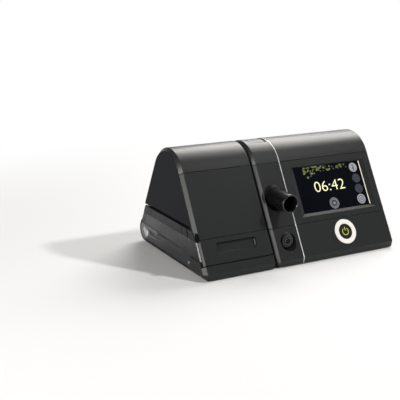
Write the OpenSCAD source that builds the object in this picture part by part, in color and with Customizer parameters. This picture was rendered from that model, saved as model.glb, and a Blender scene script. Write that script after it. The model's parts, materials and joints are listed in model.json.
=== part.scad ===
// CPAP machine: a therapy unit with a heated humidifier docked on its left.
// Millimetres, +Z up, front towards -Y, origin on the table under the middle of the footprint.

/* [Casing] */
// Width of the therapy unit
unit_w = 170.7; // [165:0.1:185]
// Width of the humidifier
hum_w = 91.2; // [88:0.1:100]
// Gap between the humidifier and the therapy unit
dock_gap = 3; // [2:0.1:5]
// Depth of the side profile
body_d = 175; // [172:0.5:185]
// Height of the crest above the table
body_h = 132.3; // [128:0.1:140]
// Slope of the front face, from horizontal
front_a = 60.5; // [59:0.1:62]
// Radius of the crest
apex_r = 38.4; // [36:0.1:41]
// Radius of the rounded rear bottom edge
rear_r = 16; // [14:0.5:18]
// Height of the bend at the foot of the front face
bend_z = 8.8; // [8:0.1:10]
// Lean of the lip below the bend
lip_a = 10.9; // [6:0.1:14]
// Height of the underside, which is the height of the feet
floor_z = 1.5; // [1:0.1:2.5]
// Bevel along the outer edges of the profile
bevel = 4; // [3.2:0.1:4.6]
// Wall of the mouldings
wall = 2.4; // [2:0.1:2.6]
// Seam between two mouldings
seam = 0.5; // [0.3:0.05:0.8]
// Clearance between pieces that fit into each other
fit = 0.15; // [0.1:0.01:0.25]

/* [Seams] */
// Slope distance from the bend to the lower edge of the humidifier lid
sill_s = 9.4; // [8:0.1:11]
// Slope distance from the bend to the lower seam
low_s = 39; // [37:0.1:41]
// Slope distance from the bend to the seam under the crest
cap_s = 116.2; // [114:0.1:118]
// Distance of the rear seam below the crest's rear edge
cap_t = 12; // [8:0.5:20]
// Height of the lower edge of the lid's cheek
cheek_z = 53.2; // [52.5:0.1:56]

/* [Trim strip] */
// Distance of the strip from the therapy unit's left side
port_w = 36.2; // [34:0.1:40]
// Width of the strip
trim_w = 1.3; // [0.8:0.1:2]

/* [Outlet tube] */
// Distance of the tube's axis from the therapy unit's left side
tube_off = 18; // [16.5:0.1:19]
// Height of the tube's axis
tube_z = 73.2; // [70:0.1:78]
// Outer diameter of the tube
tube_d = 22; // [20:0.1:22.5]
// Bore of the tube
tube_bore = 18; // [15:0.1:19]
// Distance of the tube's mouth behind the bend
tube_mouth = 4.6; // [0:0.1:10]
// Diameter of the collar at the tube's root
collar_d = 28.4; // [26:0.1:30]
// Thickness of the collar
collar_t = 3; // [2:0.1:4]
// Height of the shoulder that stops the hose's cuff
stop_h = 1; // [0.5:0.1:1.5]

/* [Hose heater socket] */
// Distance of the socket's axis from the therapy unit's left side
socket_off = 20.6; // [18:0.1:22]
// Slope distance from the bend to the socket's axis
socket_s = 20.9; // [19:0.1:22]
// Diameter of the socket's recess
socket_d = 20.8; // [18:0.1:22]
// Diameter of the socket's boss
boss_d = 13; // [11:0.1:15]
// Diameter of the jack's bore
jack_d = 6; // [5:0.1:8]

/* [Display] */
// Distance of the display's middle from the therapy unit's right side
disp_off = 67.6; // [66:0.1:69]
// Width of the glass
glass_w = 98.8; // [90:0.1:102]
// Height of the glass along the slope
glass_h = 56.3; // [50:0.1:57]
// Slope distance from the bend to the glass's middle
glass_s = 78.2; // [77:0.1:79]
// Thickness of the glass
glass_t = 1.6; // [1:0.1:2]
// Depth of the chamfered recess over the glass
recess_d = 2.5; // [1.5:0.1:3]
// Width of the recess's chamfer at both sides
recess_side = 5.7; // [3:0.1:7]
// Width of the recess's chamfer below the glass
recess_low = 4.05; // [2:0.05:5]
// Width of the recess's chamfer above the glass
recess_top = 0.95; // [0.5:0.05:2]

/* [Power button] */
// Distance of the button's middle from the therapy unit's right side
power_off = 68.3; // [66:0.1:70]
// Slope distance from the bend to the button's middle
power_s = 21.4; // [20:0.1:22]
// Outer diameter of the light ring
ring_d = 30; // [26:0.1:31]
// Diameter of the button
power_d = 18.6; // [16:0.1:20]
// Travel of the button
power_travel = 1.2; // [0.6:0.1:1.5]

/* [Release button] */
// Distance of the button from the therapy unit's left side
release_off = 10.8; // [9:0.1:12]
// Width of the button
release_w = 20; // [18:0.1:21]
// Distance of the button's front edge behind the bend
release_y = 80.9; // [78:0.1:84]
// Length of the button from front to back
release_l = 24; // [20:0.1:27]
// Travel of the button and the latch hook
release_travel = 3; // [2:0.1:3.5]
// Open slot at the button's right side
release_slot = 2.4; // [1:0.1:2.8]

/* [Finger recess] */
// Distance of the recess from the humidifier's left side
grip_off = 22.1; // [20:0.1:24]
// Width of the recess
grip_w = 51.5; // [45:0.1:54]
// Slope distance from the bend to the recess
grip_s = 21.6; // [20:0.1:23]
// Height of the recess along the slope
grip_h = 11.9; // [9:0.1:13]
// Depth of the recess
grip_d = 4.4; // [3:0.1:4.6]
// Corner radius of the recess
grip_r = 3; // [1:0.1:4]

/* [Water chamber] */
// Height of the chamber's underside
tank_z = 20.4; // [20:0.1:21]
// Height of the seam between tank and tank lid
tank_seam_z = 40.2; // [38:0.1:41]
// Height of the tank lid's top
tank_top_z = 50.4; // [49.5:0.1:50.8]
// Inset of the tank from the side profile
tank_in = 6.8; // [6.4:0.1:7.4]
// Inset of the tank lid from the side profile
tank_lid_in = 8.8; // [8.4:0.1:9.4]
// Inset of the chamber's end plate from the side profile
plate_in = 3.4; // [3.1:0.1:3.8]
// Thickness of the chamber's end plate
plate_t = 3; // [2.4:0.1:3.2]
// Edge bevel of the chamber's end plate
plate_bevel = 1.2; // [0.6:0.1:1.6]
// Wall of the tank
tank_wall = 2; // [1.6:0.1:2.4]
// Distance of the chamber's end from the humidifier's right side
tank_end = 7; // [6:0.1:9]
// Diameter of the heat plate
heat_d = 60; // [50:0.5:62]
// Thickness of the tank seal
seal_t = 0.6; // [0.4:0.1:1]

/* [Air ports] */
// Width of a port
air_w = 20; // [16:0.1:22]
// Height of a port
air_h = 5.4; // [4.5:0.1:5.6]
// Height of the ports' middle
air_z = 45.6; // [45:0.1:46]
// Rubber round a port
air_rim = 1.6; // [1:0.1:1.8]
// Distance of the supply port in front of the crest
supply_y = 0; // [-2:0.1:4]
// Distance of the return port in front of the crest
return_y = 30; // [28:0.1:32]

/* [Lid hinge] */
// Height of the hinge axis
hinge_z = 52; // [51.6:0.1:52.4]
// Distance of the hinge axis inside the back face
hinge_in = 4.4; // [4.2:0.1:4.8]
// Radius of the knuckles
knuckle_r = 3.3; // [3:0.1:3.5]
// Radius of the hinge pin
pin_r = 1.5; // [1.2:0.1:1.8]
// Length of a knuckle
knuckle_l = 8; // [6:0.1:10]

/* [Blower] */
// Radius of the blower housing
blower_r = 36; // [33:0.5:37]
// Height of the blower housing
blower_h = 28; // [24:0.5:30]
// Radius of the impeller
wheel_r = 29; // [24:0.5:30]
// Number of impeller blades
blades = 11; // [7:1:15]
// Radius of the impeller shaft
shaft_r = 2; // [1.5:0.1:2.5]
// Radius of the motor
motor_r = 19; // [16:0.5:22]
// Height of the motor
motor_h = 24; // [20:0.5:28]

/* [Filter door] */
// Width of the door
door_w = 46; // [40:0.1:50]
// Height of the door along the back
door_h = 30; // [26:0.1:34]
// Distance of the door's middle below the crest's rear edge
door_t = 40; // [36:0.1:48]
// Distance of the door's middle from the therapy unit's right side
door_off = 48; // [44:0.1:52]
// Depth of the filter pad
pad_t = 6; // [4:0.1:8]

/* [Memory card] */
// Length of the card
card_l = 32; // [28:0.1:34]
// Width of the card
card_w = 24; // [22:0.1:26]
// Thickness of the card
card_t = 2.1; // [1.8:0.1:2.4]
// Height of the card slot
card_z = 62; // [55:0.1:70]
// Distance the card slides out
card_travel = 26; // [10:0.5:28]

/* [Power inlet] */
// Distance of the inlet from the therapy unit's right side
inlet_off = 24; // [20:0.1:30]
// Height of the inlet along the back, below the crest's rear edge
inlet_t = 84; // [78:0.1:88]
// Bore of the inlet
inlet_d = 7.4; // [6:0.1:8]

/* [Feet and screws] */
// Radius of the feet
foot_r = 6.5; // [5:0.1:8]
// Radius of a screw shank
screw_r = 1.4; // [1.2:0.1:1.6]
// Radius of a screw head
head_r = 2.8; // [2.4:0.1:3]
// Height of the chassis plate
chassis_z = 12; // [11:0.1:13]
// Thickness of the chassis plate
chassis_t = 2; // [1.6:0.1:2.6]

/* [Hidden] */
$fn = 72;
sliver = 0.01;
crest_steps = 20;
rear_steps = 10;
far = 12;

total_w = unit_w + dock_gap + hum_w;
hum_l = -total_w/2;
hum_r = hum_l + hum_w;
hum_mid = (hum_l + hum_r)/2;
unit_l = hum_r + dock_gap;
unit_r = total_w/2;
trim_x = unit_l + port_w;
trim_l = trim_x - trim_w/2;
trim_r = trim_x + trim_w/2;

// side profile: normals and corners in the YZ plane
y_front = -body_d/2;
front_n = [-sin(front_a), cos(front_a)];
front_t = [cos(front_a), sin(front_a)];
lip_n = [-cos(lip_a), -sin(lip_a)];
down_n = [0, -1];
bend = [y_front, bend_z];
toe = [y_front + (bend_z - floor_z)*tan(lip_a), floor_z];
apex_z = body_h - apex_r;
apex_y = y_front + ((apex_z - bend_z)*cos(front_a) + apex_r)/sin(front_a);
apex = [apex_y, apex_z];
rear = [body_d/2 - rear_r, floor_z + rear_r];
span = norm(rear - apex);
back_n_a = acos((apex_r - rear_r)/span) - atan2(apex_z - rear[1], rear[0] - apex_y);
back_a = 90 - back_n_a;
back_n = [cos(back_n_a), sin(back_n_a)];
back_t = [sin(back_n_a), -cos(back_n_a)];
back_len = sqrt(span*span - pow(apex_r - rear_r, 2));

function corner(p, n1, n2, i) = p - i*(n1 + n2)/(1 + n1*n2);
function front_at(s, off) = bend + s*front_t + off*front_n;
function back_at(t, off) = apex + apex_r*back_n + t*back_t + off*back_n;
function front_y(z, i = 0) = y_front + (z - bend_z)/tan(front_a) + i/sin(front_a);
function back_y(z, i = 0) = (back_at((back_at(0, 0)[1] - z)/cos(back_n_a), 0)[0]) - i/cos(back_n_a);

// humidifier levels
deck_top = tank_z - 0.3;
deck_t = 2.2;
rear_wall_z = hinge_z - knuckle_r - 1;
sill_z = front_at(sill_s, -bevel - 0.6)[1] - 0.3;
plate_l = hum_l + 0.8;
plate_r = plate_l + plate_t;
side_x = plate_r + 0.4;
corner_l = 36;
corner_z = 20;
plate_low = floor_z + plate_in;
tank_r = hum_r - tank_end;
hinge_y = back_y(hinge_z) - hinge_in;
swing_r = knuckle_r + 0.8;
base_knuckles = [for (k = [-1:1]) hum_mid + k*30];
lid_knuckles = [for (k = [-1, 1]) hum_mid + k*(30 - knuckle_l - 0.4)];
hum_wall_r = hum_r - 0.8;
hum_wall_l = hum_wall_r - wall;
hum_wall_in = wall + 0.9;

// places in the therapy unit
disp_x = unit_r - disp_off;
power_x = unit_r - power_off;
tube_x = unit_l + tube_off;
tube_y = y_front + tube_mouth;
socket_x = unit_l + socket_off;
socket_z = front_at(socket_s, 0)[1];
socket_y = front_y(socket_z);
release_x = unit_l + release_off;
release_y1 = y_front + release_y;
release_y2 = release_y1 + release_l;
supply_c = apex_y - supply_y;
return_c = apex_y - return_y;
glass_low = recess_d + glass_t;
module_t = 5.5;
board_top = glass_low + module_t + 0.3;
board_t = 1.6;
board_w = glass_w + 9.2;
board_s1 = power_s - 12.4;
board_s2 = glass_s + glass_h/2 + 0.65;
duct_l = 26;
blower_x = unit_l + wall + duct_l + blower_r + 1.35;
blower_y = apex_y + 20.5;
mount_h = 4;
chassis_top = chassis_z + chassis_t;
blower_z = chassis_top + mount_h;
shell_t = 2;
motor_z = blower_z + blower_h;
wheel_z = blower_z + shell_t + 3;
shaft_end = motor_z + 12;
duct_w = 24;
duct_y1 = tube_root() + 3.6;
card_y = apex_y - 24;
card_slot_t = 1.4;
card_x = unit_r - wall - card_l + 0.8;
door_x = unit_r - door_off;
door_pin_r = 0.8;
door_knuckle_r = 1.5;
door_pin_y = door_h/2 - door_knuckle_r;
door_pin_z = -door_knuckle_r - 0.1;
inlet_x = unit_r - inlet_off;
latch_x = release_x + release_w/2;
latch_w = 10;
latch_z = apex_z + 12;
tongue_h = 4;
spring_h = 10;
spring_r = 3.6;
spring_wire = 0.9;
bracket_t = 2;
latch_gap = 0.4;
connector_y = body_d/2 - 38;
connector_z = 22;
tongue_y = [apex_y - 50, apex_y + 46];

function tube_root() = front_y(tube_z + collar_d/2) - 3 + collar_t;

unit_boss_x = [unit_l + 16, trim_x + 70, unit_r - 14];
unit_boss_y = [y_front + 38, body_d/2 - 34];
hum_boss_x = [hum_l + 16, hum_r - 14];
hum_boss_y = [y_front + 24, body_d/2 - 30];
unit_foot_x = [unit_l + 14, unit_r - 14];
unit_foot_y = [y_front + 18, body_d/2 - 20];
hum_foot_x = [hum_l + 16, hum_r - 14];
hum_foot_y = [y_front + 12, body_d/2 - 20];

plastic = "#3a3c3c";
plastic_dark = "#242626";
plastic_back = "#2e3030";
silver = "#d8d8d4";
smoke = [0.32, 0.34, 0.36, 0.6];
rubber = "#161616";
white = "#e6e6e2";

// ---- shared shapes ----

function arc_points(c, r, a1, a2, n) =
    [for (k = [0:n]) c + r*[cos(a1 + (a2 - a1)*k/n), sin(a1 + (a2 - a1)*k/n)]];

// side profile of both housings in the YZ plane, moved inwards by i
function outline(i) = concat(
    [corner(toe, lip_n, down_n, i), corner(bend, front_n, lip_n, i)],
    arc_points(apex, apex_r - i, 90 + front_a, back_n_a, crest_steps),
    arc_points(rear, rear_r - i, back_n_a, -90, rear_steps)
);

// children are drawn in the YZ plane and run from x1 to x2
module along_x(x1, x2) {
    translate([x1, 0, 0]) rotate([90, 0, 90]) linear_extrude(x2 - x1) children();
}

// straight housing, inset by i
module prism(x1, x2, i = 0) {
    along_x(x1, x2) polygon(outline(i));
}

// skin through outlines of the given [x, inset] pairs
module loft(rings) {
    n = len(outline(0));
    last = (len(rings) - 1)*n;
    polyhedron(
        points = [for (ring = rings) for (p = outline(ring[1])) [ring[0], p[0], p[1]]],
        faces = concat(
            [[for (k = [n - 1:-1:0]) k], [for (k = [0:n - 1]) last + k]],
            [for (j = [0:n:last - n], k = [0:n - 1]) [j + k, j + (k + 1) % n, j + n + (k + 1) % n]],
            [for (j = [0:n:last - n], k = [0:n - 1]) [j + k, j + n + (k + 1) % n, j + n + k]]
        )
    );
}

// solid housing, inset by i, with bevelled ends of leg1 and leg2
module body(x1, x2, i, leg1, leg2) {
    loft(concat(
        leg1 > 0 ? [[x1, i + leg1]] : [], [[x1 + leg1, i], [x2 - leg2, i]],
        leg2 > 0 ? [[x2, i + leg2]] : []
    ));
}

// part of a housing's wall that lies over the 2D region given as children;
// an end with a bevel leaves room for a flat side plate
module casing(x1, x2, leg1, leg2) {
    in1 = leg1 > wall ? wall : -1;
    in2 = leg2 > wall ? wall : -1;
    difference() {
        body(x1, x2, 0, leg1, leg2);
        body(x1 + in1, x2 - in2, wall, max(leg1 - wall, 0), max(leg2 - wall, 0));
        if (leg1 > wall) prism(x1 - 1, x1 + wall + sliver, leg1);
        if (leg2 > wall) prism(x2 - wall - sliver, x2 + 1, leg2);
        difference() {
            along_x(x1 - 1, x2 + 1) square([4*body_d, 4*body_h], center = true);
            along_x(x1 - 2, x2 + 2) children();
        }
    }
}

// frames on the front and back faces: x across, y along the slope, z out of the face
module on_front(x, s) {
    translate([x, front_at(s, 0)[0], front_at(s, 0)[1]]) rotate([front_a, 0, 0]) children();
}
module on_back(x, t) {
    translate([x, back_at(t, 0)[0], back_at(t, 0)[1]]) rotate([-back_a, 0, 0]) children();
}

// frame at a point with z turned towards the front, so y is up
module facing_front(x, y, z) {
    translate([x, y, z]) rotate([90, 0, 0]) children();
}

module block(x1, x2, y1, y2, z1, z2) {
    translate([x1, y1, z1]) cube([x2 - x1, y2 - y1, z2 - z1]);
}

module rounded_slab(w, h, r, t) {
    linear_extrude(t) hull() for (i = [-1, 1], j = [-1, 1])
        translate([i*(w/2 - r), j*(h/2 - r)]) circle(r = r, $fn = 32);
}

// 2D regions that cut the housings into mouldings
module front_region(s1, s2, depth = far) {
    polygon([front_at(s1, 5), front_at(s2, 5), front_at(s2, -depth), front_at(s1, -depth)]);
}
module cap_region() {
    s = cap_s + seam/2;
    t = cap_t - seam/2;
    polygon([
        front_at(s, 6), front_at(s, -20), back_at(t, -20), back_at(t, 6),
        [back_at(t, 6)[0], body_h + 9], [front_at(s, 6)[0], body_h + 9]
    ]);
}
module foot_region(s) {
    polygon([
        front_at(s, 6), front_at(s, -16), [y_front + far, bend_z],
        [y_front + far, floor_z - 2], [y_front - 6, floor_z - 2]
    ]);
}
module rear_region() {
    t = cap_t + seam/2;
    polygon([
        back_at(t, 8), back_at(t, -16), back_at(back_len, -16), [rear[0], floor_z - 2],
        [body_d/2 + 8, floor_z - 2], [body_d/2 + 8, rear[1] + 10]
    ]);
}
module floor_region() {
    translate([y_front + far + seam, floor_z - 1]) square([rear[0] - y_front - far - 2*seam, 10]);
}

module screw(h) {
    cylinder(r = screw_r, h = h);
    cylinder(r = head_r, h = 1.2);
}

module screw_boss(top) {
    difference() {
        cylinder(r = 4, h = top - floor_z);
        translate([0, 0, -1]) cylinder(r = screw_r + 0.1, h = top);
        translate([0, 0, -1]) cylinder(r = head_r + 0.2, h = 2.3);
    }
}

module at_each(xs, ys, z) {
    for (x = xs, y = ys) translate([x, y, z]) children();
}

// ---- therapy unit: casing ----

module unit_base() color(plastic_dark) {
    difference() {
        casing(unit_l, unit_r, bevel, bevel) floor_region();
        at_each(unit_boss_x, unit_boss_y, floor_z - 1) cylinder(r = head_r + 0.2, h = wall + 2);
    }
    at_each(unit_boss_x, unit_boss_y, floor_z) screw_boss(chassis_z);
}

module top_cover() color(plastic) casing(trim_r + 0.1, unit_r, 0, bevel) cap_region();

module display_panel() color(plastic) difference() {
    union() {
        casing(trim_r + 0.1, unit_r, 0, bevel) front_region(low_s + seam/2, cap_s - seam/2);
        intersection() {
            on_front(disp_x, glass_s) translate([0, 0, -(glass_low + 2)])
                linear_extrude(glass_low + 1.9) square([glass_w + 14, glass_h + 12], center = true);
            block(trim_r + 0.1, unit_r - bevel, -body_d, body_d, 0, body_h);
        }
    }
    hull() {
        on_front(disp_x, glass_s) translate([0, (recess_top - recess_low)/2, 0.01])
            linear_extrude(0.5) square([glass_w + 2*recess_side, glass_h + recess_low + recess_top], center = true);
        on_front(disp_x, glass_s) translate([0, 0, -recess_d])
            linear_extrude(sliver) square([glass_w, glass_h], center = true);
    }
    on_front(disp_x, glass_s) translate([0, 0, -glass_low])
        linear_extrude(glass_low) square([glass_w + 2*fit, glass_h + 2*fit], center = true);
    on_front(disp_x, glass_s) translate([0, 0, -2*glass_low])
        linear_extrude(2*glass_low) square([glass_w - 6, glass_h - 6], center = true);
}

module lower_front_panel() color(plastic) {
    difference() {
        casing(trim_r + 0.1, unit_r, 0, bevel) foot_region(low_s - seam/2);
        on_front(power_x, power_s) translate([0, 0, -5]) cylinder(r = ring_d/2 + fit, h = 9);
    }
    on_front(power_x, power_s) difference() {
        translate([0, 0, -5.5]) cylinder(r = ring_d/2 + 2, h = 5.5 - wall + 0.1);
        translate([0, 0, -4]) cylinder(r = ring_d/2 + fit, h = 9);
        translate([0, 0, -6]) cylinder(r = power_d/2 + 2, h = 9);
    }
}

module port_top_cover() color(plastic) difference() {
    casing(unit_l, trim_l - 0.1, bevel, 0) cap_region();
    block(release_x - latch_gap, release_x + release_w + release_slot,
        release_y1 - latch_gap, release_y2 + latch_gap, apex_z, body_h + 1);
}

module port_upper_panel() color(plastic) difference() {
    union() {
        casing(unit_l, trim_l - 0.1, bevel, 0) front_region(low_s + seam/2, cap_s - seam/2);
        intersection() {
            facing_front(tube_x, tube_root() + 2, tube_z) cylinder(r = collar_d/2 + 2, h = 40);
            prism(unit_l, trim_x, 0.2);
            along_x(unit_l + bevel, trim_l - 0.1) front_region(low_s + seam/2, cap_s - seam/2, 40);
        }
    }
    facing_front(tube_x, tube_root(), tube_z) cylinder(r = collar_d/2 + fit, h = 60);
    facing_front(tube_x, tube_root() + 9, tube_z) cylinder(r = tube_d/2 + stop_h + fit, h = 60);
}

module port_lower_panel() color(plastic) difference() {
    union() {
        casing(unit_l, trim_l - 0.1, bevel, 0) foot_region(low_s - seam/2);
        intersection() {
            facing_front(socket_x, socket_y + 11, socket_z) cylinder(r = socket_d/2 + 2, h = 40);
            prism(unit_l, trim_x, 0.2);
            along_x(unit_l + bevel, trim_l - 0.1) front_region(0, low_s - seam/2, 40);
        }
    }
    facing_front(socket_x, socket_y + 9, socket_z) cylinder(r = socket_d/2, h = 40);
    facing_front(socket_x, socket_y + 14, socket_z) cylinder(r = boss_d/2, h = 40);
}

module trim_strip() color(silver) casing(trim_l, trim_r, 0, 0) polygon([
    [y_front - 5, floor_z - 1], [y_front + far, floor_z - 1], [y_front + far, bend_z],
    front_at(low_s, -16), front_at(cap_s, -20), back_at(cap_t, -20), back_at(cap_t, 6),
    [back_at(cap_t, 6)[0], body_h + 9], [front_at(cap_s, 6)[0], body_h + 9]
]);

module rear_cover() color(plastic_back) {
    difference() {
        union() {
            casing(unit_l, unit_r, bevel, bevel) rear_region();
            // tray behind the filter door
            on_back(door_x, door_t) translate([0, 0, -pad_t - 6]) linear_extrude(pad_t + 6 - wall + 0.1)
                square([door_w + 4, door_h + 4], center = true);
            on_back(inlet_x, inlet_t) translate([0, 0, -6]) cylinder(r = 9, h = 6 - wall + 0.1);
        }
        on_back(door_x, door_t) translate([0, 0, -pad_t - 4]) linear_extrude(20)
            square([door_w + 0.6, door_h + 0.6], center = true);
        // air slots through the tray's floor
        for (k = [-2:2]) on_back(door_x + k*8, door_t) translate([0, 0, -pad_t - 9]) linear_extrude(9)
            square([4.4, door_h - 8], center = true);
        // cooling slots
        for (k = [0:8]) on_back(unit_l + 24 + k*7, door_t + 4) translate([0, 0, -8]) linear_extrude(16)
            square([3, 26], center = true);
        on_back(inlet_x, inlet_t) translate([0, 0, -8]) cylinder(r = 6 + fit, h = 20);
    }
    // ears that hold the door's pin
    for (k = [-1, 1]) on_back(door_x, door_t) translate([k*(door_w/2 - 4), door_pin_y, door_pin_z])
        rotate([0, 90, 0]) difference() {
            translate([-1.5, -1.5, -1.5]) cube([pad_t + 5.8 + door_pin_z, 3, 3]);
            translate([0, 0, -3]) cylinder(r = door_pin_r + 0.05, h = 6);
        }
}

module right_side_plate() color(plastic_dark) difference() {
    prism(unit_r - wall, unit_r, bevel + fit);
    block(unit_r - 9, unit_r + 1, card_y - card_w/2 - 0.4, card_y + card_w/2 + 0.4,
        card_z - card_t/2 - 0.4, card_z + card_t/2 + 0.4);
    translate([unit_r + 7, card_y, card_z]) sphere(r = 8.6);
}

module docking_wall() color(plastic_dark) {
    difference() {
        prism(unit_l, unit_l + wall, bevel + fit);
        for (y = [supply_c, return_c]) block(unit_l - 1, unit_l + 9, y - air_w/2, y + air_w/2,
            air_z - air_h/2, air_z + air_h/2);
        latch_window();
        connector_window();
        tongue_windows();
    }
    // bracket that carries the latch spring
    block(unit_l + wall, latch_x + 6, apex_y - 6, apex_y + 6,
        latch_z - spring_h - bracket_t, latch_z - spring_h);
}

module latch_window() {
    block(hum_wall_l - 9, unit_l + 9, apex_y - latch_w/2 - latch_gap, apex_y + latch_w/2 + latch_gap,
        latch_z - release_travel - latch_gap, latch_z + tongue_h + latch_gap);
}

module connector_window() {
    block(hum_wall_l - 9, unit_l + 9, connector_y - 9, connector_y + 9, connector_z, connector_z + 9);
}

module tongue_windows() {
    for (y = tongue_y) block(unit_l - 1, unit_l + 9, y - 7.4, y + 7.4, 7.6, 12.4);
}

// ---- therapy unit: front pieces ----

module display_glass() color("#0b0d12") on_front(disp_x, glass_s) translate([0, 0, -glass_low])
    linear_extrude(glass_t) square([glass_w, glass_h], center = true);

module power_ring() color(white) on_front(power_x, power_s) difference() {
    translate([0, 0, -4]) cylinder(r = ring_d/2, h = 4.3);
    translate([0, 0, -5]) cylinder(r = power_d/2 + 0.1, h = 9);
}

module power_button() color(plastic_dark) on_front(power_x, power_s) {
    translate([0, 0, -3.4]) cylinder(r = power_d/2, h = 3.4);
    translate([0, 0, -(board_top - 1.6 - power_travel)]) cylinder(r = 3, h = 4);
}

module power_switch() color("#b8b8b0") on_front(power_x, power_s)
    translate([-3, -3, -board_top]) cube([6, 6, 1.5]);

module outlet_tube() color(plastic_dark) facing_front(tube_x, duct_y1, tube_z) difference() {
    union() {
        cylinder(r = tube_d/2, h = duct_y1 - tube_y);
        cylinder(r = tube_d/2 + stop_h, h = duct_y1 - tube_root() + collar_t);
        cylinder(r = tube_d/2 + 2, h = 1.5);
    }
    translate([0, 0, -1]) cylinder(r = tube_bore/2, h = 200);
}

module outlet_collar() color(plastic_dark) facing_front(tube_x, tube_root(), tube_z) difference() {
    cylinder(r = collar_d/2, h = collar_t);
    translate([0, 0, -1]) cylinder(r = tube_d/2 + stop_h + fit, h = 9);
}

module hose_socket() color(plastic_dark) facing_front(socket_x, socket_y + 9, socket_z) difference() {
    union() {
        cylinder(r = socket_d/2 - fit, h = 2);
        cylinder(r = boss_d/2, h = 8);
    }
    translate([0, 0, 1]) cylinder(r = jack_d/2, h = 9);
}

module release_button() color(plastic) {
    intersection() {
        difference() {
            prism(release_x, release_x + release_w, 0.2);
            prism(release_x - 1, release_x + release_w + 1, 3);
        }
        block(release_x, release_x + release_w, release_y1, release_y2, apex_z, body_h);
    }
    block(latch_x - 4, latch_x + 4, apex_y - 4, apex_y + 4, latch_z + tongue_h + 8, body_h - 2.6);
}

module latch_hook() color("#50524f") {
    block(latch_x - 5, latch_x + 5, apex_y - 5, apex_y + 5, latch_z, latch_z + tongue_h + 8);
    block(hum_wall_l - 4, latch_x, apex_y - latch_w/2, apex_y + latch_w/2, latch_z, latch_z + tongue_h);
    block(hum_wall_l - 4, hum_wall_l - 0.4, apex_y - latch_w/2, apex_y + latch_w/2,
        latch_z, latch_z + tongue_h + release_travel - 0.6);
}

module latch_spring() color("#9a9a96") translate([latch_x, apex_y, latch_z - spring_h]) difference() {
    cylinder(r = spring_r, h = spring_h);
    translate([0, 0, -1]) cylinder(r = spring_r - spring_wire, h = spring_h + 2);
}

// ---- therapy unit: inside ----

module chassis_plate() color("#6b6f70") difference() {
    block(unit_l + 6, unit_r - 6, y_front + 26, body_d/2 - 24, chassis_z, chassis_top);
    translate([blower_x, blower_y, chassis_z - 1]) cylinder(r = 16, h = 9);
    at_each(unit_boss_x, unit_boss_y, chassis_z - 1) cylinder(r = screw_r + 0.1, h = 9);
}

module display_module() color("#7d8284") on_front(disp_x, glass_s) translate([0, 0, -glass_low - module_t])
    linear_extrude(module_t - fit) square([glass_w - 8, glass_h - 8], center = true);

module main_board() color("#1f5a3a") {
    on_front(disp_x, board_s1) translate([-board_w/2, 0, -board_top - board_t])
        cube([board_w, board_s2 - board_s1, board_t]);
    for (k = [0:3]) on_front(disp_x - 40 + k*24, 56) translate([0, 0, -board_top - board_t - 1.8])
        linear_extrude(1.9) square([12 + 2*(k % 2), 12], center = true);
}

// cavity of the housing, with the intake hole in its floor
module blower_housing() color("#c9c9c2") difference() {
    union() {
        translate([blower_x, blower_y, blower_z]) cylinder(r = blower_r, h = blower_h);
        block(unit_l + wall + duct_l, blower_x, blower_y - blower_r, blower_y - blower_r + duct_w,
            blower_z + 4, blower_z + blower_h);
    }
    translate([blower_x, blower_y, blower_z + shell_t]) cylinder(r = blower_r - shell_t, h = blower_h - 2*shell_t);
    block(unit_l, blower_x, blower_y - blower_r + shell_t, blower_y - blower_r + duct_w - shell_t,
        blower_z + 4 + shell_t, blower_z + blower_h - shell_t);
    translate([blower_x, blower_y, blower_z - 1]) cylinder(r = 13, h = 9);
    translate([blower_x, blower_y, motor_z - 9]) cylinder(r = shaft_r + 1.5, h = 20);
}

module impeller() color("#e4e4de") translate([blower_x, blower_y, wheel_z]) {
    cylinder(r = wheel_r, h = 1.2);
    difference() {
        cylinder(r = 6, h = 12);
        translate([0, 0, -1]) cylinder(r = shaft_r - 0.5, h = 2);
    }
    for (k = [0:blades - 1]) rotate([0, 0, k*360/blades]) translate([5, 0, 1])
        rotate([0, 0, 24]) cube([wheel_r - 7, 1.2, 11]);
    cylinder(r = shaft_r, h = shaft_end - wheel_z);
}

module blower_motor() color("#8b8f91") difference() {
    translate([blower_x, blower_y, motor_z]) cylinder(r = motor_r, h = motor_h);
    translate([blower_x, blower_y, motor_z - 1]) cylinder(r = shaft_r + 0.05, h = shaft_end - motor_z + 1.4);
}

module blower_mounts() color(rubber) for (k = [0:2]) rotate_about(blower_x, blower_y, 30 + k*120)
    translate([blower_r - 8, 0, chassis_top]) cylinder(r = 5, h = mount_h);

module rotate_about(x, y, a) {
    translate([x, y, 0]) rotate([0, 0, a]) children();
}

// closed duct from the blower's mouth to the supply port
module supply_duct() color("#55585a") {
    x1 = unit_l + wall;
    x2 = x1 + duct_l;
    y1 = min(supply_c - air_w/2, blower_y - blower_r) - shell_t;
    y2 = max(supply_c + air_w/2, blower_y - blower_r + duct_w) + shell_t;
    z1 = blower_z + 4 - shell_t;
    z2 = max(air_z + air_h/2, blower_z + blower_h) + shell_t;
    difference() {
        block(x1, x2, y1, y2, z1, z2);
        block(x1 + shell_t, x2 - shell_t, y1 + shell_t, y2 - shell_t, z1 + shell_t, z2 - shell_t);
        block(x1 - 1, x1 + shell_t + 1, supply_c - air_w/2, supply_c + air_w/2,
            air_z - air_h/2, air_z + air_h/2);
        block(x2 - shell_t - 1, x2 + 1, blower_y - blower_r + shell_t, blower_y - blower_r + duct_w - shell_t,
            blower_z + 4 + shell_t, blower_z + blower_h - shell_t);
    }
}

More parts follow.
